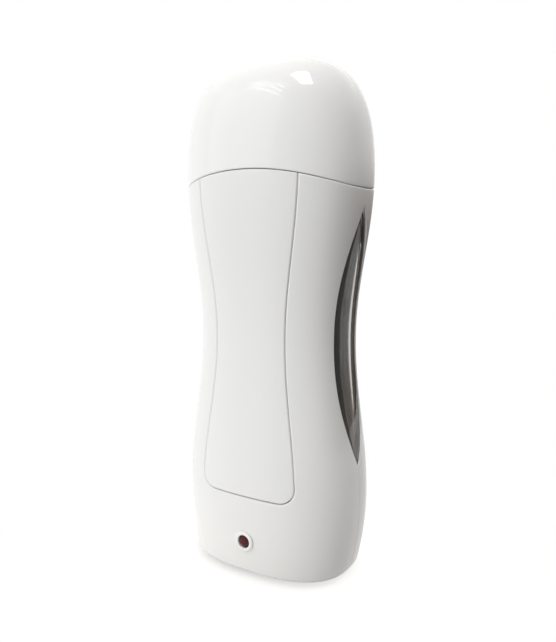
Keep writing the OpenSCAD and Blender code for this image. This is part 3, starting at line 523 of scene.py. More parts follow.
def rim_line(inside):
    """The front shell's outer border as (turn, level), moved inside by some millimetres."""
    along = ROUND_TOP - ROUND_RUN
    half_corner = len(corner_turns) // 2
    down = np.concatenate([case_levels, np.linspace(CORNER_TOP, along + inside, half_corner + 1)])
    z = np.where(down > ROUND_TOP, down, ROUND_TOP)
    y = split_half(z) + inside
    right_turn = -turn_of(side_x(y, z), y, z) * np.ones(len(down))
    count = 2 * half_corner + len(bottom_x)
    sweep = np.linspace(right_turn[-1], -np.pi - right_turn[-1], count + 2)[1:-1]
    turns = np.concatenate([right_turn, sweep, (-np.pi - right_turn)[::-1]])
    rows = np.concatenate([down, np.full(count, along + inside), down[::-1]])
    return np.stack([turns, rows], -1)


def front_grid():
    """Rows round the aperture, then rows that open out to the border: (turn, level),
    the distance from the aperture, and x where a point must keep it."""
    grown = list(DOOR_EDGE * np.array(EDGE)) + [1.0, 1.6, SPREAD]
    rows, away = [], []
    for grow in grown:
        line = aperture(DOOR_GAP + grow)
        z = drawn_up(line[:, 1], line[:, 0])
        rows.append(np.stack([turn_of(line[:, 0], front_y(line[:, 0], z), z), line[:, 1]], -1))
        away.append(np.full(len(line), grow))
    start, end = rows[-1], rim_line(SPLIT_EDGE)
    for share in np.linspace(0, 1, 45)[1:]:
        rows.append(start + (end - start) * share)
        away.append(SPREAD + OPENED * share * np.ones(len(start)))
    for share in EDGE[-2::-1]:
        rows.append(rim_line(SPLIT_EDGE * share))
        away.append(np.full(len(start), FAR))
    return np.array(rows), np.array(away)


def case_skin(turn, level, away):
    """Outer and inner points of a shell, with its rounded edges."""
    flat = on_case(turn, level)
    beside = np.abs(flat[..., 1]) - split_half(flat[..., 2])
    depth = (rounded(away, DOOR_EDGE) + rounded(SEAM_Z - level, RIM_EDGE)
             + np.where(level > ROUND_TOP, rounded(beside, SPLIT_EDGE), 0))
    outer = on_case(turn, level, depth)
    inner = on_case(turn, level, WALL)
    z = inner[..., 2]
    by_door = np.stack([outer[..., 0], front_y(outer[..., 0], z, WALL), z], -1)
    across = np.sign(outer[..., 0]) * side_x(outer[..., 1], z, WALL)
    by_split = np.stack([across, outer[..., 1], z], -1)
    near_door = (np.clip(1 - away / SQUARED, 0, 1) * (level > ROUND_TOP))[..., None]
    near_split = (np.clip(1 - beside / SQUARED, 0, 1) * (level > ROUND_TOP))[..., None]
    inner = inner + (by_split - inner) * near_split
    return outer, inner + (by_door - inner) * near_door


def round_rect_reach(angle, half_a, half_b, corner):
    """Distance from the middle of a rounded rectangle to its outline."""
    cos, sin = np.abs(np.cos(angle)), np.abs(np.sin(angle))
    to_a, to_b = half_a / np.maximum(cos, 1e-9), half_b / np.maximum(sin, 1e-9)
    along = cos * (half_a - corner) + sin * (half_b - corner)
    gap = (half_a - corner) ** 2 + (half_b - corner) ** 2 - corner ** 2
    to_corner = along + np.sqrt(np.maximum(along ** 2 - gap, 0))
    return np.where(to_a * sin <= half_b - corner, to_a,
                    np.where(to_b * cos <= half_a - corner, to_b, to_corner))


def base_grid(ring):
    """Underside of a shell, from its rounded edge in to the foot pad's pocket."""
    outer, inner = ring
    angle = np.arctan2(outer[:, 1], outer[:, 0])
    reach = round_rect_reach(angle, PAD_W / 2 + PAD_GAP, PAD_D / 2 + PAD_GAP, PAD_CORNER + PAD_GAP)
    edge = np.stack([reach * np.cos(angle), reach * np.sin(angle), np.full(len(angle), BASE_Z)], -1)
    roof = edge + [0, 0, PAD_TOP - BASE_Z]
    middle = np.stack([PAD_W / 2 * np.cos(angle), 0 * angle, np.full(len(angle), PAD_TOP)], -1)
    steps = np.linspace(0, 1, 6)
    rows = [outer + (edge - outer) * s for s in steps] + [roof + (middle - roof) * s for s in steps]
    floor = np.array([0, 0, 1]) * FLOOR_Z
    within = [inner + (edge * [1, 1, 0] + floor - inner) * s for s in steps]
    within += [(roof + (middle - roof) * s) * [1, 1, 0] + floor for s in steps]
    return np.array(rows), np.array(within)


grid, away = front_grid()
front = case_skin(grid[..., 0], grid[..., 1], away)
side_count = len(case_levels) + len(corner_turns) // 2
bottom = slice(side_count, grid.shape[1] - side_count)
front_base = base_grid((front[0][-1, bottom], front[1][-1, bottom]))
front_shell = solid("front_shell_moulding", [walled(*patches(front, front_base))], case_white)
stands_for(front_shell, "case", "case_white", "front_shell")


# --- Back shell ---------------------------------------------------------------
# The other half of the case, in the same plastic. Four screws go in from its back
# through deep round recesses, and the inlet is pushed into a hole low in its middle.
SCREW_X, SCREW_LOW, SCREW_TOP, SCREW_SEAT, RECESS_R = 30.8, 20.0, 146.0, 7.0, 2.5
SCREWS = [(x, z) for x in (-SCREW_X, SCREW_X) for z in (SCREW_LOW, SCREW_TOP)]
INLET_Z, INLET_FACE = 17.0, 26.614
INLET_HOLE = 9.45, 6.35, 3.15      # half width, half height and corner
OUTSIDE = 30.0                     # y that lies clear of the case
SHELF_X, SHELF_W, SHELF_LOW, SHELF_TOP, SHELF_REACH = 27.5, 8.0, 34.0, 36.0, 3.0
BOSS_R, BOSS_EDGE, BOSS_GAP = 3.3, 0.1, 0.03
BACK_BORE, FRONT_BORE = 1.45, 1.3
BURIED = 1.2       # bosses and brackets end in the wall, this deep under the skin
PILLAR_R, PILLAR_BORE, PILLAR_EDGE, PILLAR_TOP = 1.6, 0.8, 0.15, 7.0
PILLARS = [(x, y) for x in (-14, 14) for y in (-15.1, -4.1)]


def back_grid():
    """Turns and levels of the back shell's points, with closer rows round its borders."""
    rows = np.concatenate([case_levels, levels(CORNER_TOP, 34, ROUND_TOP, 14, ROUND_TOP - ROUND_RUN)])
    z = np.maximum(rows, ROUND_TOP)

    def edge_turn(inside):
        y = split_half(z) + inside
        return turn_of(side_x(y, z), y, z)

    inner_turn = edge_turn(SPLIT_EDGE)
    share = np.linspace(0, 1, 181)
    middle = inner_turn[:, None] + (np.pi - 2 * inner_turn)[:, None] * share
    rim = np.stack([edge_turn(SPLIT_EDGE * e) for e in EDGE[:-1]], -1)
    return np.concatenate([rim, middle, np.pi - rim[:, ::-1]], -1), rows


def cut(piece, tools, finish):
    """The piece with closed tool shapes cut out of it."""
    knife = solid("knife", tools, finish)
    modifier = piece.modifiers.new("cut", "BOOLEAN")
    modifier.object, modifier.solver = knife, "EXACT"
    made = piece.evaluated_get(bpy.context.evaluated_depsgraph_get())
    mesh = bpy.data.meshes.new_from_object(made)
    piece.modifiers.clear()
    piece.data = mesh
    mesh.set_sharp_from_angle(angle=SHARP)
    bpy.data.objects.remove(knife)


def loft(loops, ends=True):
    """Closed solid through loops of equal length, with flat ends or joined to itself."""
    loops = np.asarray(loops)
    rows, cols = loops.shape[:2]
    points, faces = loops.reshape(-1, 3), quads(rows, cols, wrap=True)
    if not ends:
        j = np.arange(cols)
        k = (j + 1) % cols
        last = (rows - 1) * cols
        return points, np.concatenate([faces, np.stack([last + j, last + k, k, j], -1)])
    caps = []
    for row, flip in ((0, False), (rows - 1, True)):
        ring, middle = row * cols + np.arange(cols), np.full(cols, len(points))
        points = np.concatenate([points, loops[row].mean(0)[None]])
        following = np.roll(ring, -1)
        first, second = (ring, following) if flip else (following, ring)
        caps.append(np.stack([middle, first, second, middle], -1))
    return points, np.concatenate([faces] + caps)


def turned(profile, origin, axis="Y", sides=64, ends=True):
    """Turned shape: profile is (radius, distance along the axis) from origin."""
    angle = np.linspace(0, 2 * np.pi, sides, endpoint=False)
    loops = []
    for radius, along in profile:
        a, b, c = radius * np.cos(angle), radius * np.sin(angle), np.full(sides, along)
        loops.append(np.stack({"X": (c, a, b), "Y": (b, c, a), "Z": (a, b, c)}[axis], -1))
    return loft(np.array(loops) + np.array(origin), ends)


def round_rect_loop(half_a, half_b, corner, height, plane="XY", centre=(0, 0, 0), sides=128):
    """Rounded rectangle in a plane at a height, or standing in XZ."""
    angle = np.linspace(0, 2 * np.pi, sides, endpoint=False)
    reach = round_rect_reach(angle, half_a, half_b, corner)
    a, b, c = reach * np.cos(angle), reach * np.sin(angle), np.full(sides, height)
    return np.stack((a, b, c) if plane == "XY" else (a, c, b), -1) + np.array(centre)


turns, rows = back_grid()
level = rows[:, None] * np.ones_like(turns)
back_skin = case_skin(turns, level, np.full_like(level, FAR))
back_base = base_grid((back_skin[0][-1], back_skin[1][-1]))
back_shell = solid("back_shell_moulding", [walled(*patches(back_skin, back_base))], case_white)
recesses = [turned([(RECESS_R, SCREW_SEAT), (RECESS_R, OUTSIDE)], (x, 0, z)) for x, z in SCREWS]
inlet_hole = loft([round_rect_loop(*INLET_HOLE, y, "XZ", (0, 0, INLET_Z)) for y in (10, OUTSIDE)])
cut(back_shell, recesses + [inlet_hole], case_white)
stands_for(back_shell, "case", "case_white", "back_shell")


def shelf(x, way):
    """Bracket under the inner frame: it follows the wall and stands out from it."""
    loops = []
    for a in np.linspace(x - SHELF_W / 2, x + SHELF_W / 2, 17):
        outside, inside = (-float(front_y(abs(a), SHELF_TOP, inset))
                           for inset in (BURIED, WALL + SHELF_REACH))
        loops.append([(a, way * y, z) for y, z in ((inside, SHELF_LOW), (outside, SHELF_LOW),
                                                   (outside, SHELF_TOP), (inside, SHELF_TOP))])
    return loft(np.array(loops))


def inner_parts(way, seat, bore):
    """Bosses round the screws and brackets under the inner frame, for the half on one side.
    In the back half each boss has a seat for the screw's head in its recess."""
    parts = [shelf(x, way) for x in (-SHELF_X, SHELF_X)]
    for x, z in SCREWS:
        wall = float(-front_y(abs(x) + BOSS_R, z, BURIED))
        profile = [(bore, BOSS_GAP), (BOSS_R - BOSS_EDGE, BOSS_GAP), (BOSS_R, BOSS_GAP + BOSS_EDGE),
                   (BOSS_R, wall)]
        profile += [(bore, wall)] if seat is None else [(RECESS_R, wall), (RECESS_R, seat), (bore, seat)]
        parts.append(turned([(r, way * y) for r, y in profile], (x, 0, z), ends=False))
    return parts


def held_inside(name, parts):
    """Plastic inside a shell that is moulded with it."""
    piece = solid(name, parts, case_white)
    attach(piece, "case")


held_inside("back_shell_bosses", inner_parts(1, SCREW_SEAT, BACK_BORE))
pillar = [(PILLAR_BORE, FLOOR_Z - 0.1), (PILLAR_R, FLOOR_Z - 0.1), (PILLAR_R, PILLAR_TOP - PILLAR_EDGE),
          (PILLAR_R - PILLAR_EDGE, PILLAR_TOP), (PILLAR_BORE, PILLAR_TOP)]
held_inside("front_shell_bosses", inner_parts(-1, None, FRONT_BORE)
            + [turned(pillar, (x, y, 0), "Z", 32, ends=False) for x, y in PILLARS])


# --- Door ---------------------------------------------------------------------
# Waisted panel in the front, 2 mm thick, in the same white. It snaps in at the top
# and turns on a steel pin behind its lower end; two ears carry the pin, and two
# bosses inside take the rivets of the springs.
DOOR_WALL, PANEL_EDGE = 2.0, 0.4
HINGE_Z = DOOR_LOW + 14
HINGE_Y = float(front_y(0.0, HINGE_Z)) + 3
EAR_X, EAR_R, EAR_BORE, EAR_EDGE = 11, 2.0, 1.02, 0.15
STUD_R, STUD_BORE, STUD_DEPTH, STUD_EDGE = 2.7, 1.25, 1.4, 0.2
SPRING_X, SPRING_Z, RIVET_Z = 8.0, 64.0, 67.0
SPRING_END_Y = DOOR_WALL - float(half(SPRING_Z, 1)) + 1.2
DECK_Z = 149.6
TONGUE, TONGUE_Z = (6, 2.25, 0.6), (147.8, 149.3)      # half width, half depth and corner

panel_levels = np.concatenate([[SEAM_Z], levels(SEAM_Z - 1.5, 12, 149.0, 100, CORNER_TOP + 0.5)])
panel_turns = np.radians(np.linspace(0, 90, 25))
panel_share = np.linspace(-1, 1, 49)


def panel_loop(inside):
    """Right side down, bottom leftwards, left side up and top rightwards, as (x, level)."""
    shrink = (SEAM_Z - inside - CORNER_TOP) / (SEAM_Z - CORNER_TOP)
    side = np.concatenate([door_side(CORNER_TOP + (panel_levels - CORNER_TOP) * shrink, -inside),
                           door_corner(panel_turns, -inside)])
    side[:len(panel_levels), 0] = door_half(panel_levels) - inside
    low = side[-1]
    bottom = np.stack([-panel_share * low[0], np.full(len(panel_share), low[1])], -1)
    top = np.stack([panel_share * side[0][0], np.full(len(panel_share), side[0][1])], -1)
    return side, bottom, side[::-1] * [-1, 1], top


def spanned(right, bottom, left, top):
    """Grid inside four border lines that run round it."""
    rows, cols = len(right), len(bottom)
    v, u = np.linspace(0, 1, rows)[:, None, None], np.linspace(0, 1, cols)[None, :, None]
    left_down, top_left = left[::-1], top[::-1]
    sides = (1 - v) * top_left + v * bottom + (1 - u) * right[:, None] + u * left_down[:, None]
    corners = ((1 - v) * ((1 - u) * right[0] + u * left_down[0])
               + v * ((1 - u) * right[-1] + u * left_down[-1]))
    return sides - corners


def panel_skin(flat, inside):
    x, z = flat[..., 0], drawn_up(flat[..., 1], flat[..., 0])
    outer = np.stack([x, front_y(x, z, rounded(inside, PANEL_EDGE)), z], -1)
    return outer, np.stack([x, front_y(x, z, DOOR_WALL), z], -1)


insides = list(PANEL_EDGE * np.array(EDGE)) + [0.7, 1.1, 1.6]
rings = np.array([np.concatenate([part[:-1] for part in panel_loop(e)] + [panel_loop(e)[0][:1]])
                  for e in insides])
band = panel_skin(rings, np.array(insides)[:, None] * np.ones(rings.shape[1]))
field = spanned(*panel_loop(insides[-1]))
field = panel_skin(field, np.full(field.shape[:2], FAR))
ear = [(EAR_BORE, -1), (EAR_BORE, 1), (EAR_R - EAR_EDGE, 1), (EAR_R, 1 - EAR_EDGE),
       (EAR_R, EAR_EDGE - 1), (EAR_R - EAR_EDGE, -1)]
ears = [turned(ear, (x, HINGE_Y, HINGE_Z), "X", 48, ends=False) for x in (-EAR_X, EAR_X)]
stud = [(STUD_R, float(front_y(SPRING_X, RIVET_Z, 1.0))), (STUD_R, SPRING_END_Y - STUD_EDGE),
        (STUD_R - STUD_EDGE, SPRING_END_Y), (STUD_BORE, SPRING_END_Y),
        (STUD_BORE, SPRING_END_Y - STUD_DEPTH)]
studs = [turned(stud, (x, 0, RIVET_Z)) for x in (-SPRING_X, SPRING_X)]
tongue_y = float(front_y(0.0, DECK_Z, DOOR_WALL)) - 1 + TONGUE[1]
tongue = loft([round_rect_loop(*TONGUE, z, "XY", (0, tongue_y, 0), 48) for z in TONGUE_Z])
door_white = moulded("door_white", (0.835, 0.835, 0.83), (0.805, 0.805, 0.80), 0.3, 0.55)
door_panel = solid("door_moulding", [walled(*patches(band, field)), *ears, *studs, tongue], door_white)
stands_for(door_panel, "door", "door_white", "door_panel")


# --- Cap ----------------------------------------------------------------------
# Domed cap over the roller end, moulded in a brighter glossy white, 2.2 mm thick. It
# slips over the neck collar, and its lip follows the arched seam. One grid of points
# runs from the pole inside, over the lip, to the pole outside.
TOP_Z = 205.0
DOME_H = TOP_Z - SHOULDER_Z
# Powers of the dome's curve upwards, and of its curves toward the sides and the front
DOME_RISE, DOME_SIDE, DOME_FRONT = 2.3, 3.8, 3.4
LIP_EDGE, LIP_GAP = 0.45, 0.3
CAP_ROWS, CAP_COLUMNS = 132, 193
# The share of the rows that lie below a height, and how much these crowd toward the lip
# and the others toward the pole
LOW_SHARE, LOW_TOP, LOW_CROWD, HIGH_CROWD = 0.26, 164.0, 1.7, 1.9


def by_nodes(name, base, inputs, lay, finish):
    """A piece made by Geometry Nodes: lay(graph, inputs) returns its geometry. The
    result becomes a plain mesh, and the modifier goes."""
    tree = bpy.data.node_groups.new(name, "GeometryNodeTree")
    tree.interface.new_socket("Geometry", in_out="INPUT", socket_type="NodeSocketGeometry")
    tree.interface.new_socket("Geometry", in_out="OUTPUT", socket_type="NodeSocketGeometry")
    kinds = {int: "NodeSocketInt", float: "NodeSocketFloat"}
    for key, value in inputs.items():
        socket = tree.interface.new_socket(key, in_out="INPUT", socket_type=kinds[type(value)])
        socket.default_value = value
    graph = Graph(tree)
    entry = graph.add("NodeGroupInput")
    shape = lay(graph, {s.name: Socket(graph, s) for s in entry.socket.node.outputs if s.name})
    real = graph.add("GeometryNodeRealizeInstances", None, {"Geometry": shape})
    dressed = graph.add("GeometryNodeSetMaterial", None, {"Geometry": real, "Material": finish})
    graph.add("NodeGroupOutput", None, {"Geometry": dressed})
    piece = bpy.data.objects.new(name, base or bpy.data.meshes.new(name))
    scene.collection.objects.link(piece)
    modifier = piece.modifiers.new("nodes", "NODES")
    modifier.node_group = tree
    for item in tree.interface.items_tree:
        if item.in_out == "INPUT" and item.name in inputs:
            modifier[item.identifier] = inputs[item.name]
    bpy.context.view_layer.update()
    made = piece.evaluated_get(bpy.context.evaluated_depsgraph_get())
    mesh = bpy.data.meshes.new_from_object(made)
    bpy.data.objects.remove(piece)
    bpy.data.node_groups.remove(tree)
    mesh.name = name
    return finished(bpy.data.objects.new(name, mesh), finish)


def cap_shape(graph, size):
    """The grid's X goes once round the cap. Its Y goes from the pole inside, at the low
    end, over the lip in the middle to the pole outside."""
    sheet = graph.add("GeometryNodeMeshGrid", None, {
        "Size X": 1.0, "Size Y": 1.0, "Vertices X": CAP_COLUMNS, "Vertices Y": CAP_ROWS})
    spot = xyz(graph, graph.add("GeometryNodeInputPosition"))
    turn = spot * (2 * math.pi)
    down = spot.of("Y") * 2.0
    outside = down.math("GREATER_THAN", 0.0)
    climb = ((down.math("ABSOLUTE") * (CAP_ROWS - 1) - 1.0) / (CAP_ROWS - 2)).math("MAXIMUM", 0.0)
    cos, sin = turn.math("COSINE"), turn.math("SINE")
    square = size["Squareness"]
    reach = (cos.math("ABSOLUTE") ** square + sin.math("ABSOLUTE") ** square) ** (-1.0 / square)

    def swell(z, shoulder, waist):
        """Half size of the case between the waist and the shoulder."""
        share = (z - WAIST_Z) / (size["Shoulder height"] - WAIST_Z)
        return waist + (shoulder - waist) * (0.5 - 0.5 * (share * math.pi).math("COSINE"))

    def side(height, swelled, shoulder, power):
        """Half size at a height: the case's below the shoulder, the dome's above it."""
        share = ((height - size["Shoulder height"]) / size["Dome"]).math("MAXIMUM", 0.0)
        domed = shoulder * (1.0 - share ** DOME_RISE).math("MAXIMUM", 0.0) ** (1.0 / power)
        above = height.math("GREATER_THAN", size["Shoulder height"])
        return swelled + (domed - swelled) * above

    def lip(x):
        """Height of the lip at x: the seam's arch and the gap over it."""
        return SEAM_Z - SEAM_RADIUS + ((SEAM_RADIUS + LIP_GAP) ** 2 - x * x).math("SQRT")

    rough = cos * reach * size["Half width"]
    low = lip(rough)
    low = lip(cos * reach * swell(low, size["Half width"], WAIST[0] / 2))
    near = low + (LOW_TOP - low) * (climb / LOW_SHARE).math("MINIMUM", 1.0) ** LOW_CROWD
    share = ((climb - LOW_SHARE) / (1.0 - LOW_SHARE)).math("MAXIMUM", 0.0)
    start = math.asin(((LOW_TOP - SHOULDER_Z) / DOME_H) ** (DOME_RISE / 2))
    angle = math.pi / 2 - (math.pi / 2 - start) * (1.0 - share) ** HIGH_CROWD
    over = climb.math("GREATER_THAN", LOW_SHARE)
    high = size["Shoulder height"] + size["Dome"] * angle.math("SINE") ** (2 / DOME_RISE)
    z = near + (high - near) * over
    away = angle.math("COSINE").math("MAXIMUM", 0.0)
    widths = []
    for shoulder, waist, power in (("Half width", WAIST[0] / 2, DOME_SIDE),
                                   ("Half depth", WAIST[1] / 2, DOME_FRONT)):
        below = side(near, swell(near, size[shoulder], waist), size[shoulder], power)
        widths.append(below + (size[shoulder] * away ** (2 / power) - below) * over)
    edge = (1.0 - (z - low) / size["Lip edge"]).math("MAXIMUM", 0.0)
    fallen = size["Lip edge"] * (1.0 - (1.0 - edge * edge).math("SQRT"))
    depth = size["Wall"] + (fallen - size["Wall"]) * outside
    x = widths[0] * (1.0 - depth / size["Half width"]) * cos * reach
    y = widths[1] * (1.0 - depth / size["Half depth"]) * sin * reach
    top = (z - size["Shoulder height"]).math("MAXIMUM", 0.0)
    z = z - top * (size["Wall"] / size["Dome"]) * (1.0 - outside)
    place = graph.add("ShaderNodeCombineXYZ", None, {"X": x * MM, "Y": y * MM, "Z": z * MM})
    shaped = graph.add("GeometryNodeSetPosition", None, {"Geometry": sheet, "Position": place})
    return graph.add("GeometryNodeMergeByDistance", None, {"Geometry": shaped, "Distance": 0.0005 * MM})


cap_white = moulded("cap_white", (0.86, 0.86, 0.855), (0.83, 0.83, 0.825), 0.12, 0.8, 0.03)
cap = by_nodes("cap_moulding", None, {
    "Half width": SHOULDER[0] / 2, "Half depth": SHOULDER[1] / 2, "Shoulder height": SHOULDER_Z,
    "Dome": DOME_H, "Wall": WALL, "Lip edge": LIP_EDGE, "Squareness": SQUARENESS}, cap_shape, cap_white)
stands_for(cap, "cap", "cap_white", "cap")


# --- Side windows -------------------------------------------------------------
# Pointed clear inserts that show the cartridge, polished acrylic about 3 mm thick.
# Each sits half a millimetre deep in its opening, and a flange holds it inside. Black
# on its front border and on lines along its rear border is painted shade.
PANE_DEPTH, PANE_EDGE, PANE_TIP = 0.5, 0.2, 0.15
FLANGE_W, FLANGE_DEPTH, FLANGE_BACK, PANE_BACK = 1.6, WALL + 0.15, WALL + 0.95, WALL + 1.2
FACE_POINTS, BACK_POINTS, PANE_LOOPS = 33, 17, 161
LOOP_POINTS = FACE_POINTS + BACK_POINTS + 8       # with the corners of the flange
# Points of the loop that get black painted shade: the front border and two lines along the rear border
SHADE_END, SHADE_FADE, SHADE_LINES = 14, 5, (31, 39)  # counted in points of the loop


def paint_window(graph):
    """Clear plastic with faint streaks, and a brown film of wax toward its lower end. Black
    painted shade covers its front border and lines along its rear border.
    """
    haze = noise(graph, 60.0, 4.0)
    streaks = noise(graph, (500, 500, 14), 3.0)
    tint = mixed(graph, faded(graph, streaks, 0.35, 0.65), (0.78, 0.78, 0.77), (0.52, 0.52, 0.51))
    film = (faded(graph, xyz(graph, at(graph)).of("Z"), 0.06, 0.095, 1.0, 0.0)
            * faded(graph, streaks, 0.3, 0.6, 0.2, 1.0))
    clear = graph.add("ShaderNodeBsdfPrincipled", None, {
        "Base Color": mixed(graph, film, tint, (0.56, 0.46, 0.39)), "Roughness": 0.03 + 0.05 * haze,
        "IOR": 1.49, "Transmission Weight": 1.0, "Normal": bump(graph, noise(graph, 420.0, 1.0), 0.04)})
    # Black painted shade, for the dark seen at the insert's front border and along its rear border
    painted_shade_black = graph.add("ShaderNodeBsdfPrincipled", None, {
        "Base Color": (0.012, 0.012, 0.012), "Roughness": 0.35 + 0.2 * haze})
    painted_shade_share = graph.add("ShaderNodeAttribute", {"attribute_name": "glued"}).of("Fac")
    return layered(graph, faded(graph, painted_shade_share, 0.3, 0.7), clear, painted_shade_black)


def window_part(side):
    """One insert with its flange: a closed loop across at each height, from tip to tip."""
    t = np.sin(np.linspace(-np.pi / 2, np.pi / 2, FACE_POINTS))
    loops = []
    for height in WINDOW_REACH * np.cos(np.linspace(0, np.pi, PANE_LOOPS)):
        wide = max(window_half(WINDOW_Z + height), PANE_TIP)
        rim = wide + FLANGE_W
        face = PANE_DEPTH + rounded(wide * (1 - np.abs(t)), min(PANE_EDGE, wide))
        inner = np.linspace(wide - 0.1, 0.1 - wide, BACK_POINTS)
        section = ([(-rim, FLANGE_BACK), (-rim, FLANGE_DEPTH), (-wide, FLANGE_DEPTH)]
                   + list(zip(wide * t, face))
                   + [(wide, FLANGE_DEPTH), (rim, FLANGE_DEPTH), (rim, FLANGE_BACK), (wide, FLANGE_BACK)]
                   + [(y, PANE_BACK) for y in inner] + [(-wide, FLANGE_BACK)])
        y, depth = np.array(section).T
        z = np.full_like(y, WINDOW_Z + height)
        loops.append(np.stack([side * side_x(y, z, depth), y, z], -1))
    return loft(loops)


window_clear = material("window_clear", paint_window)
for side, name in ((1, "right"), (-1, "left")):
    window = solid("window_insert_" + name, [window_part(side)], window_clear)
    # Painted shade: the front border and two lines along the rear border are marked for black
    point = np.arange(len(window.data.vertices)) % LOOP_POINTS
    painted_shade_share = np.clip((SHADE_END - point) / SHADE_FADE, 0, 1) + (point == LOOP_POINTS - 1)
    painted_shade_share += sum(np.abs(point - line) < 2 for line in SHADE_LINES)
    glued = window.data.attributes.new("glued", "FLOAT", "POINT")
    glued.data.foreach_set("value", np.minimum(painted_shade_share, 1.0))
    stands_for(window, "case", "window_clear", "window_" + name)


# --- Indicator ----------------------------------------------------------------
# A dark red lamp in a raised glossy white ring, which is pushed into a round hole low
# in the front. The lamp stands on the circuit board on two wire legs.
LAMP_Z, LAMP_R, LAMP_SINK, LAMP_LENGTH = 15.5, 2.56, 0.5, 8.6
LAMP_FOOT_R, LAMP_FOOT, LAMP_FOOT_EDGE = 2.9, 1.0, 0.05
LEG_X, LEG_R, LEG_Y, LEG_DROP = 1.27, 0.3, 10.6, 8.1
HOLE_R, RING_BORE, RING_R, RING_SHANK, RING_END = 3.65, 2.66, 4.2, 3.5, 3.7
RING_PROUD, RING_SEAT, RING_INNER, RING_OUTER, RING_CREST = 0.75, 0.219, 0.3, 0.9, 0.45
face = -float(half(LAMP_Z, 1))
arc = np.radians(np.linspace(0, 90, 9))
cut(front_shell, [turned([(HOLE_R, -40), (HOLE_R, -10)], (0, 0, LAMP_Z), sides=96)], case_white)
# The ring's profile runs up the bore, over a small round inside and a wide one outside,
# under the brim and down the shank
ring_profile = ([(RING_BORE, RING_END), (RING_BORE, -0.35)]
                + [(RING_BORE + RING_INNER * (1 - math.cos(a)),
                    RING_INNER * (1 - math.sin(a)) - RING_PROUD) for a in arc]
                + [(RING_R - RING_OUTER * (1 - math.sin(a)),
                    RING_CREST * (1 - math.cos(a)) - RING_PROUD) for a in arc]
                + [(RING_R, -0.28), (RING_R - 0.12, -RING_SEAT), (RING_SHANK, -RING_SEAT),
                   (RING_SHANK, RING_END)])
ring = solid("indicator_ring_moulding",
             [turned(ring_profile, (0, face, LAMP_Z), sides=96, ends=False)], cap_white)
stands_for(ring, "case", "case_white", "indicator_ring")


def paint_lamp(graph):
    """Dark red cast resin, slightly clouded."""
    cloud = noise(graph, 900.0, 3.0)
    return graph.add("ShaderNodeBsdfPrincipled", None, {
        "Base Color": mixed(graph, cloud, (0.085, 0.010, 0.009), (0.055, 0.007, 0.007)),
        "Roughness": 0.12 + 0.1 * cloud, "Specular IOR Level": 0.22,
        "Normal": bump(graph, cloud, 0.05, 0.1 * MM)})


tip = face - LAMP_SINK
foot = LAMP_LENGTH - LAMP_FOOT
lamp_profile = ([(LAMP_R * math.sin(a), 0.85 - math.cos(a)) for a in arc * 0.999][1:]
                + [(LAMP_R, foot), (LAMP_FOOT_R, foot + LAMP_FOOT_EDGE), (LAMP_FOOT_R, LAMP_LENGTH)])
lamp_parts = [turned(lamp_profile, (0, tip, LAMP_Z), sides=64)]
lamp_parts += [turned([(LEG_R, -LEG_DROP), (LEG_R, 0.3)], (x, tip + LEG_Y, LAMP_Z), "Z", 16)
               for x in (-LEG_X, LEG_X)]
lamp_parts += [turned([(LEG_R, 8.3), (LEG_R, LEG_Y + 0.3)], (x, tip, LAMP_Z), "Y", 16)
               for x in (-LEG_X, LEG_X)]
lamp = solid("indicator_lamp_body", lamp_parts, material("lamp_red", paint_lamp))
stands_for(lamp, "case", "lamp_red", "indicator_lamp")


# --- Neck collar --------------------------------------------------------------
# Satin white collar that the cap slips over. It stands on a deck round the mouth of
# the bay, and a rim under the deck holds the top of the heat sleeve.
BAY_W, BAY_D, BAY_CORNER, BAY_EDGE, DECK_TOP = 50.4, 32.4, 8.0, 0.5, 151.6
RIM_IN, RIM_OUT, RIM_LOW = 1.15, 2.15, 142.6
NECK_W, NECK_D, NECK_T, NECK_TOP = 35.95, 23.35, 1.8, 170.6
NECK_OUTER_EDGE, NECK_INNER_EDGE = 0.6, 0.4
turn_steps = np.radians(np.linspace(0, 90, 6))


def neck_loop(inset, height, sides=192):
    """The collar's oval, made smaller all round by the inset."""
    angle = np.linspace(0, 2 * np.pi, sides, endpoint=False)
    cos, sin = np.abs(np.cos(angle)), np.abs(np.sin(angle))
    reach = ((cos / (NECK_W - inset)) ** SQUARENESS
             + (sin / (NECK_D - inset)) ** SQUARENESS) ** (-1 / SQUARENESS)
    return np.stack([reach * np.cos(angle), reach * np.sin(angle), np.full(sides, height)], -1)


def bay_loop(grow, height, sides=192):
    return round_rect_loop(BAY_W / 2 + grow, BAY_D / 2 + grow, BAY_CORNER + grow, height, sides=sides)


def edged(outline, radius, steps):
    """Loops round a rounded edge. Each is outline(inset, rise) at one of the angles."""
    return [outline(radius * (1 - math.cos(a)), radius * math.sin(a)) for a in steps]


neck = ([bay_loop(RIM_OUT, RIM_LOW), bay_loop(RIM_OUT, DECK_Z), neck_loop(0, DECK_Z)]
        + edged(lambda inset, rise: neck_loop(inset, NECK_TOP - NECK_OUTER_EDGE + rise),
                NECK_OUTER_EDGE, turn_steps)
        + edged(lambda inset, rise: neck_loop(NECK_T - inset, NECK_TOP - NECK_INNER_EDGE + rise),
                NECK_INNER_EDGE, turn_steps[::-1])
        + [neck_loop(NECK_T, DECK_TOP + 1), neck_loop(NECK_T + 0.2, DECK_TOP + 0.6),
           neck_loop(NECK_T + 0.5, DECK_TOP + 0.5)]
        + edged(lambda inset, rise: bay_loop(inset, DECK_TOP + rise), BAY_EDGE, turn_steps[::-1])
        + [bay_loop(0, DECK_Z), bay_loop(RIM_IN, DECK_Z), bay_loop(RIM_IN, RIM_LOW)])
collar_white = moulded("collar_white", (0.80, 0.80, 0.79), (0.76, 0.76, 0.75), 0.45, 0.1, 0.15)
collar = solid("neck_collar_moulding", [loft(neck, ends=False)], collar_white)
stands_for(collar, "case", "collar_white", "neck_collar")


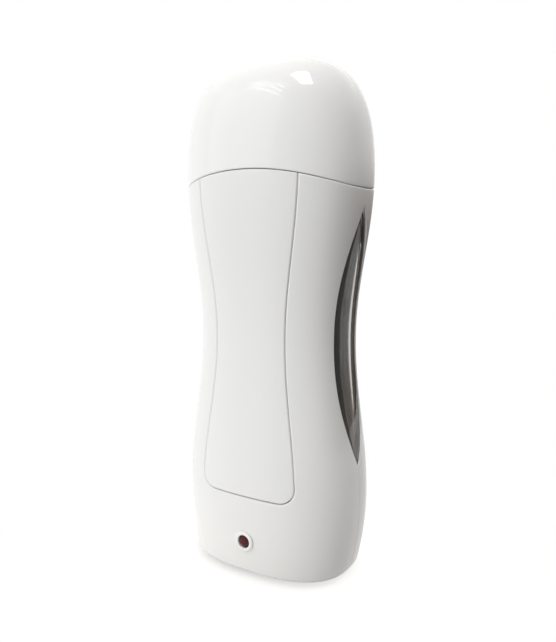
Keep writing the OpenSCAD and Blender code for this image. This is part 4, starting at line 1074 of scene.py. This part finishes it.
# --- Mains inlet --------------------------------------------------------------
# Black two-pin inlet in the lower back, with a flange that lies on the case and two
# nickel-plated pins at the end of its well. The photo doesn't show it.
WELL_W, WELL_H, WELL_DEPTH, WELL_CORNER, WELL_EDGE = 7.3, 4.2, 12, 4.15, 0.4
FLANGE_GROW, FLANGE_CORNER, FLANGE_EDGE = 3.5, 1, 0.45
BODY_GROW, BODY_FRONT, BODY_DEPTH = 2.0, 23.5, 14
PIN_X, PIN_R, PIN_LENGTH, PIN_ROUND, PIN_STEM = 4.3, 1.2, 9.5, 0.8, 1.0


def inlet_loop(grow, y, corner=FLANGE_CORNER, sides=160):
    return round_rect_loop(WELL_W + grow, WELL_H + grow, corner + grow, y, "XZ",
                           (0, 0, INLET_Z), sides)


def well_loop(grow, y):
    return inlet_loop(grow, y, WELL_CORNER)


on_back = inlet_loop(FLANGE_GROW, 0)
on_back[:, 1] = 0.05 - front_y(on_back[:, 0], on_back[:, 2])
socket_loops = ([well_loop(0, INLET_FACE - WELL_DEPTH), well_loop(0, INLET_FACE - WELL_EDGE - 0.1)]
                + edged(lambda inset, rise: well_loop(inset, INLET_FACE - WELL_EDGE + rise),
                        WELL_EDGE, turn_steps)
                + edged(lambda inset, rise: inlet_loop(FLANGE_GROW - inset,
                                                       INLET_FACE - FLANGE_EDGE + rise),
                        FLANGE_EDGE, turn_steps[::-1])
                + [on_back, inlet_loop(BODY_GROW, BODY_FRONT),
                   inlet_loop(BODY_GROW, INLET_FACE - BODY_DEPTH)])


def textured(name, colour, shade, roughness, scale, strength=0.3, specular=0.5):
    """Plain moulded or coated stuff: speckled colour over a fine grain."""
    def paint(graph):
        grain, cloud = noise(graph, scale, 3.0, 0.6), noise(graph, scale / 12, 4.0)
        return graph.add("ShaderNodeBsdfPrincipled", None, {
            "Base Color": mixed(graph, 0.5 * cloud + 0.5 * grain, colour, shade),
            "Roughness": roughness + 0.15 * (cloud - 0.5), "Specular IOR Level": specular,
            "Normal": bump(graph, grain, strength)})
    return material(name, paint)


inlet_black = textured("inlet_black", (0.022, 0.022, 0.023), (0.035, 0.035, 0.036), 0.42, 2600.0, 0.15)
socket = solid("inlet_socket_moulding", [loft(socket_loops)], inlet_black)
stands_for(socket, "case", "inlet_black", "inlet_socket")


def drawn(name, colour, shade, roughness, stretch):
    """Metal drawn, rolled or brushed one way, with duller patches from handling."""
    def paint(graph):
        lines, patch = noise(graph, stretch, 6.0, 0.65), noise(graph, 140.0, 4.0)
        return graph.add("ShaderNodeBsdfPrincipled", None, {
            "Base Color": mixed(graph, 0.5 * lines + 0.5 * patch, colour, shade), "Metallic": 1.0,
            "Roughness": roughness + 0.25 * (lines - 0.5) + 0.2 * (patch - 0.5),
            "Normal": bump(graph, lines, 0.2, 0.1 * MM)})
    return material(name, paint)


plated_steel = drawn("plated_steel", (0.70, 0.70, 0.71), (0.55, 0.55, 0.56), 0.24, (500, 900, 500))
pin = [(PIN_STEM, -5.0), (PIN_STEM, 0.02), (PIN_R, 0.02)]
pin += [(PIN_R - PIN_ROUND * (1 - math.cos(a)), PIN_LENGTH - PIN_ROUND * (1 - math.sin(a))) for a in arc]
inlet_pins = solid("inlet_pins_plated", [turned(pin, (x, INLET_FACE - WELL_DEPTH, INLET_Z), sides=48)
                                         for x in (-PIN_X, PIN_X)], plated_steel)
stands_for(inlet_pins, "case", "plated_steel", "inlet_pins")


# --- Screws and rivets --------------------------------------------------------
# Four plated screws with cross slots join the shells, two hold the heater's strap, and
# two rivets hold the springs. One head is made once and repeated on its row.
SCREW_R, SCREW_HEAD, SHANK_R, SCREW_TIP = 2.3, 1.6, 1.28, -16.0
HEAD_ROUND, THREAD_STEP, THREAD_DEPTH = 0.35, 0.35, 0.18
STRAP_Y, STRAP_LOW, STRAP_STEP = 17.6, 73.5, 49.0


def repeated(graph, size):
    """The base mesh repeated in columns along x and rows along z."""
    count = size["Columns"] * size["Rows"]
    points = graph.add("GeometryNodePoints", None, {"Count": count})
    index = graph.add("GeometryNodeInputIndex")
    row = (index / size["Columns"]).math("FLOOR")
    column = index - row * size["Columns"]
    where = graph.add("ShaderNodeCombineXYZ", None, {
        "X": (column - (size["Columns"] - 1.0) / 2.0) * size["Step across"],
        "Y": size["Seat"], "Z": size["Lowest"] + row * size["Step up"]})
    set_out = graph.add("GeometryNodeSetPosition", None, {"Geometry": points, "Position": where})
    return graph.add("GeometryNodeInstanceOnPoints", None, {"Points": set_out, "Instance": size["Geometry"]})


def fastener(name, profile, slot, across, up, seat, lowest, columns, rows):
    """A turned head, with a cross slot of (length, width, floor, top) if it has one."""
    blank = solid(name + "_blank", [turned(profile, (0, 0, 0), sides=56)], plated_steel)
    if slot:
        length, width, floor, top = slot
        for a, b in ((length, width), (width, length)):
            box = np.array([[(x * a / 2, y, z * b / 2) for x, z in ((-1, -1), (1, -1), (1, 1), (-1, 1))]
                            for y in (floor, top)])
            cut(blank, [loft(box)], plated_steel)
    base = blank.data
    bpy.data.objects.remove(blank)
    return by_nodes(name, base, {
        "Columns": columns, "Rows": rows, "Step across": across * MM, "Step up": up * MM,
        "Seat": seat * MM, "Lowest": lowest * MM}, repeated, plated_steel)


def pan_head(radius, height, shank, tail):
    """Profile of a screw from its tip to the middle of its head."""
    dome = [(radius - HEAD_ROUND * (1 - math.cos(a)), height - 0.45 + HEAD_ROUND * math.sin(a)) for a in arc]
    thread = [(shank - THREAD_DEPTH * (k % 2), tail + 0.4 + THREAD_STEP * k)
              for k in range(int((-tail - 1) / THREAD_STEP))]
    return ([(0.3, tail)] + thread + [(shank, -0.4), (shank, 0), (radius, 0)] + dome
            + [(radius * 0.6, height - 0.02), (0.05, height)])


case_screws = fastener("case_screws_cross", pan_head(SCREW_R, SCREW_HEAD, SHANK_R, SCREW_TIP),
                       (3.0, 0.7, 0.9, 2.4), 2 * SCREW_X, SCREW_TOP - SCREW_LOW, SCREW_SEAT, SCREW_LOW, 2, 2)
stands_for(case_screws, "case", "plated_steel", "case_screws")
strap_head = ([(0.3, -0.38), (1.08, -0.36), (1.08, 0), (2.0, 0)]
              + [(1.7 + 0.3 * math.cos(a), 0.9 + 0.3 * math.sin(a)) for a in arc] + [(0.05, 1.2)])
strap_screws = fastener("strap_screws_pan", strap_head, (2.6, 0.5, 0.75, 2.0),
                        0.0, STRAP_STEP, STRAP_Y, STRAP_LOW, 1, 2)
stands_for(strap_screws, "case", "plated_steel", "strap_screws")
rivet_head = ([(1.2, -1.45), (1.2, 0.38), (2.2, 0.42)]
              + [(2.2 * math.cos(a * 0.97), 0.45 + 0.43 * math.sin(a)) for a in arc])
rivets = fastener("spring_rivets_round", rivet_head, None, 2 * SPRING_X, 0.0, SPRING_END_Y, RIVET_Z, 2, 1)
stands_for(rivets, "door", "plated_steel", "spring_rivets")


# --- Foot pad -----------------------------------------------------------------
# Soft grey pad in a pocket of the base, moulded in rubber and pressed in. It stands
# 0.4 mm proud on a rounded edge.
PAD_EDGE, PAD_BACK = 0.25, 1.15


def pad_loop(inset, height):
    return round_rect_loop(PAD_W / 2 - inset, PAD_D / 2 - inset, PAD_CORNER - inset, height)


pad = [pad_loop(0, PAD_BACK)]
pad += edged(lambda inset, drop: pad_loop(inset, PAD_EDGE - drop), PAD_EDGE, turn_steps)
pad_grey = textured("pad_grey", (0.33, 0.33, 0.33), (0.27, 0.27, 0.27), 0.75, 1800.0, 0.5, 0.3)
foot_pad = solid("foot_pad_soft", [loft(pad)], pad_grey)
stands_for(foot_pad, "case", "pad_grey", "foot_pad")


# --- Leads --------------------------------------------------------------------
# Insulated leads run from the inlet's pins up behind the sleeve: brown through the
# thermostat, blue through the fuse, and white glass-braid ones to the heater. Two thin
# ones feed the lamp's board. Each is bent round a former, so it turns in even curves.
MAINS_R, LAMP_LEAD_R, BEND = 0.7, 0.5, 2.6
# y behind the inlet's pins, (x, y) of the fuse and the thermostat, and of two heater tabs
RISE, FUSE, UNIT, TAB, TAB_LEFT = 6.914, (12, 18.55), (0, 18.9), (7, 18.2), (-7, 18.2)
TERMINAL = 9.314, INLET_Z


def lead_shape(graph, size):
    path = graph.add("GeometryNodeMeshToCurve", None, {"Mesh": size["Geometry"]})
    eased = graph.add("GeometryNodeFilletCurve", {"mode": "POLY"}, {
        "Curve": path, "Radius": size["Bend"], "Count": 10, "Limit Radius": True})
    round_wire = graph.add("GeometryNodeCurvePrimitiveCircle", None, {
        "Resolution": 20, "Radius": size["Radius"]})
    return graph.add("GeometryNodeCurveToMesh", None, {
        "Curve": eased, "Profile Curve": round_wire, "Fill Caps": True})


def leads(name, paths, radius, finish, slot):
    """One or more leads along their paths of corner points."""
    line = bpy.data.meshes.new(name + "_path")
    points = [p for path in paths for p in path]
    starts = np.cumsum([0] + [len(p) for p in paths])
    joins = [(k, k + 1) for a, b in zip(starts, starts[1:]) for k in range(a, b - 1)]
    line.from_pydata((np.array(points) * MM).tolist(), joins, [])
    sizes = {"Radius": radius * MM, "Bend": BEND * MM}
    made = by_nodes(name + "_insulated", line, sizes, lead_shape, finish)
    stands_for(made, "case", slot, name)


wire_brown = textured("wire_brown", (0.21, 0.10, 0.05), (0.17, 0.08, 0.04), 0.45, 900.0, 0.1)
wire_blue = textured("wire_blue", (0.06, 0.13, 0.40), (0.05, 0.11, 0.33), 0.45, 900.0, 0.1)
wire_white = textured("wire_white", (0.76, 0.75, 0.70), (0.60, 0.59, 0.54), 0.8, 2600.0, 0.6)
leads("live_wire", [[(-PIN_X, *TERMINAL), (-PIN_X, RISE, INLET_Z), (-6.02, RISE, 24), (-6.02, UNIT[1], 31),
                     (*UNIT, 36.3), (*UNIT, 38.7)]], MAINS_R, wire_brown, "wire_brown")
leads("neutral_wire", [[(PIN_X, *TERMINAL), (PIN_X, RISE, INLET_Z), (6.02, RISE, 24), (6.02, FUSE[1], 31),
                        (6.02, FUSE[1], 37), (*FUSE, 42.3), (*FUSE, 44.7)]], MAINS_R, wire_blue, "wire_blue")
leads("link_wires", [[(*UNIT, 65.3), (*UNIT, 67.7), (*TAB_LEFT, 73.3), (*TAB_LEFT, 75.7)],
                     [(*FUSE, 61.3), (*FUSE, 63.7), (*TAB, 73.3), (*TAB, 75.7)]],
      MAINS_R, wire_white, "wire_white")
leads("lamp_wires", [[(s * 14, -4.1, 8.75), (s * 14, -4.1, 14), (s * 11, 0, 17), (s * 5.16, 3.664, 20.5),
                      (s * 5.16, 6.064, 20.5)] for s in (-1, 1)], LAMP_LEAD_R, wire_white, "wire_white")


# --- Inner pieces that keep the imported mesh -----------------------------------
# Drawn aluminium sleeve round the cartridge, rolled steel springs and strap, the
# moulded inner frame, and the heater's block, sheet, thermostat, fuse and board.
spring_steel = drawn("spring_steel", (0.50, 0.52, 0.55), (0.38, 0.40, 0.43), 0.3, (1800, 300, 60))
aluminium = drawn("aluminium_sleeve", (0.46, 0.455, 0.45), (0.30, 0.295, 0.29), 0.38, (1400, 1400, 50))
finishes = {
    "heat_sleeve": aluminium,
    "door_springs": spring_steel,
    "element_strap": spring_steel,
    "hinge_pin": plated_steel,
    "bay_frame": textured("inner_grey", (0.19, 0.19, 0.20), (0.14, 0.14, 0.15), 0.6, 1500.0),
    "heating_element": textured("ceramic_tan", (0.66, 0.54, 0.37), (0.52, 0.42, 0.28), 0.75, 800.0, 0.5),
    "insulation_sheet": textured("sheet_mica", (0.66, 0.62, 0.42), (0.50, 0.46, 0.30), 0.5, 400.0, 0.3),
    "thermostat": textured("phenolic_brown", (0.26, 0.14, 0.07), (0.18, 0.09, 0.05), 0.4, 1100.0, 0.2),
    "thermal_fuse": plated_steel,
    "circuit_board": textured("board_green", (0.05, 0.24, 0.10), (0.03, 0.17, 0.07), 0.35, 700.0, 0.15),
}
for node, finish in finishes.items():
    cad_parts[node].data.materials.clear()
    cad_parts[node].data.materials.append(finish)
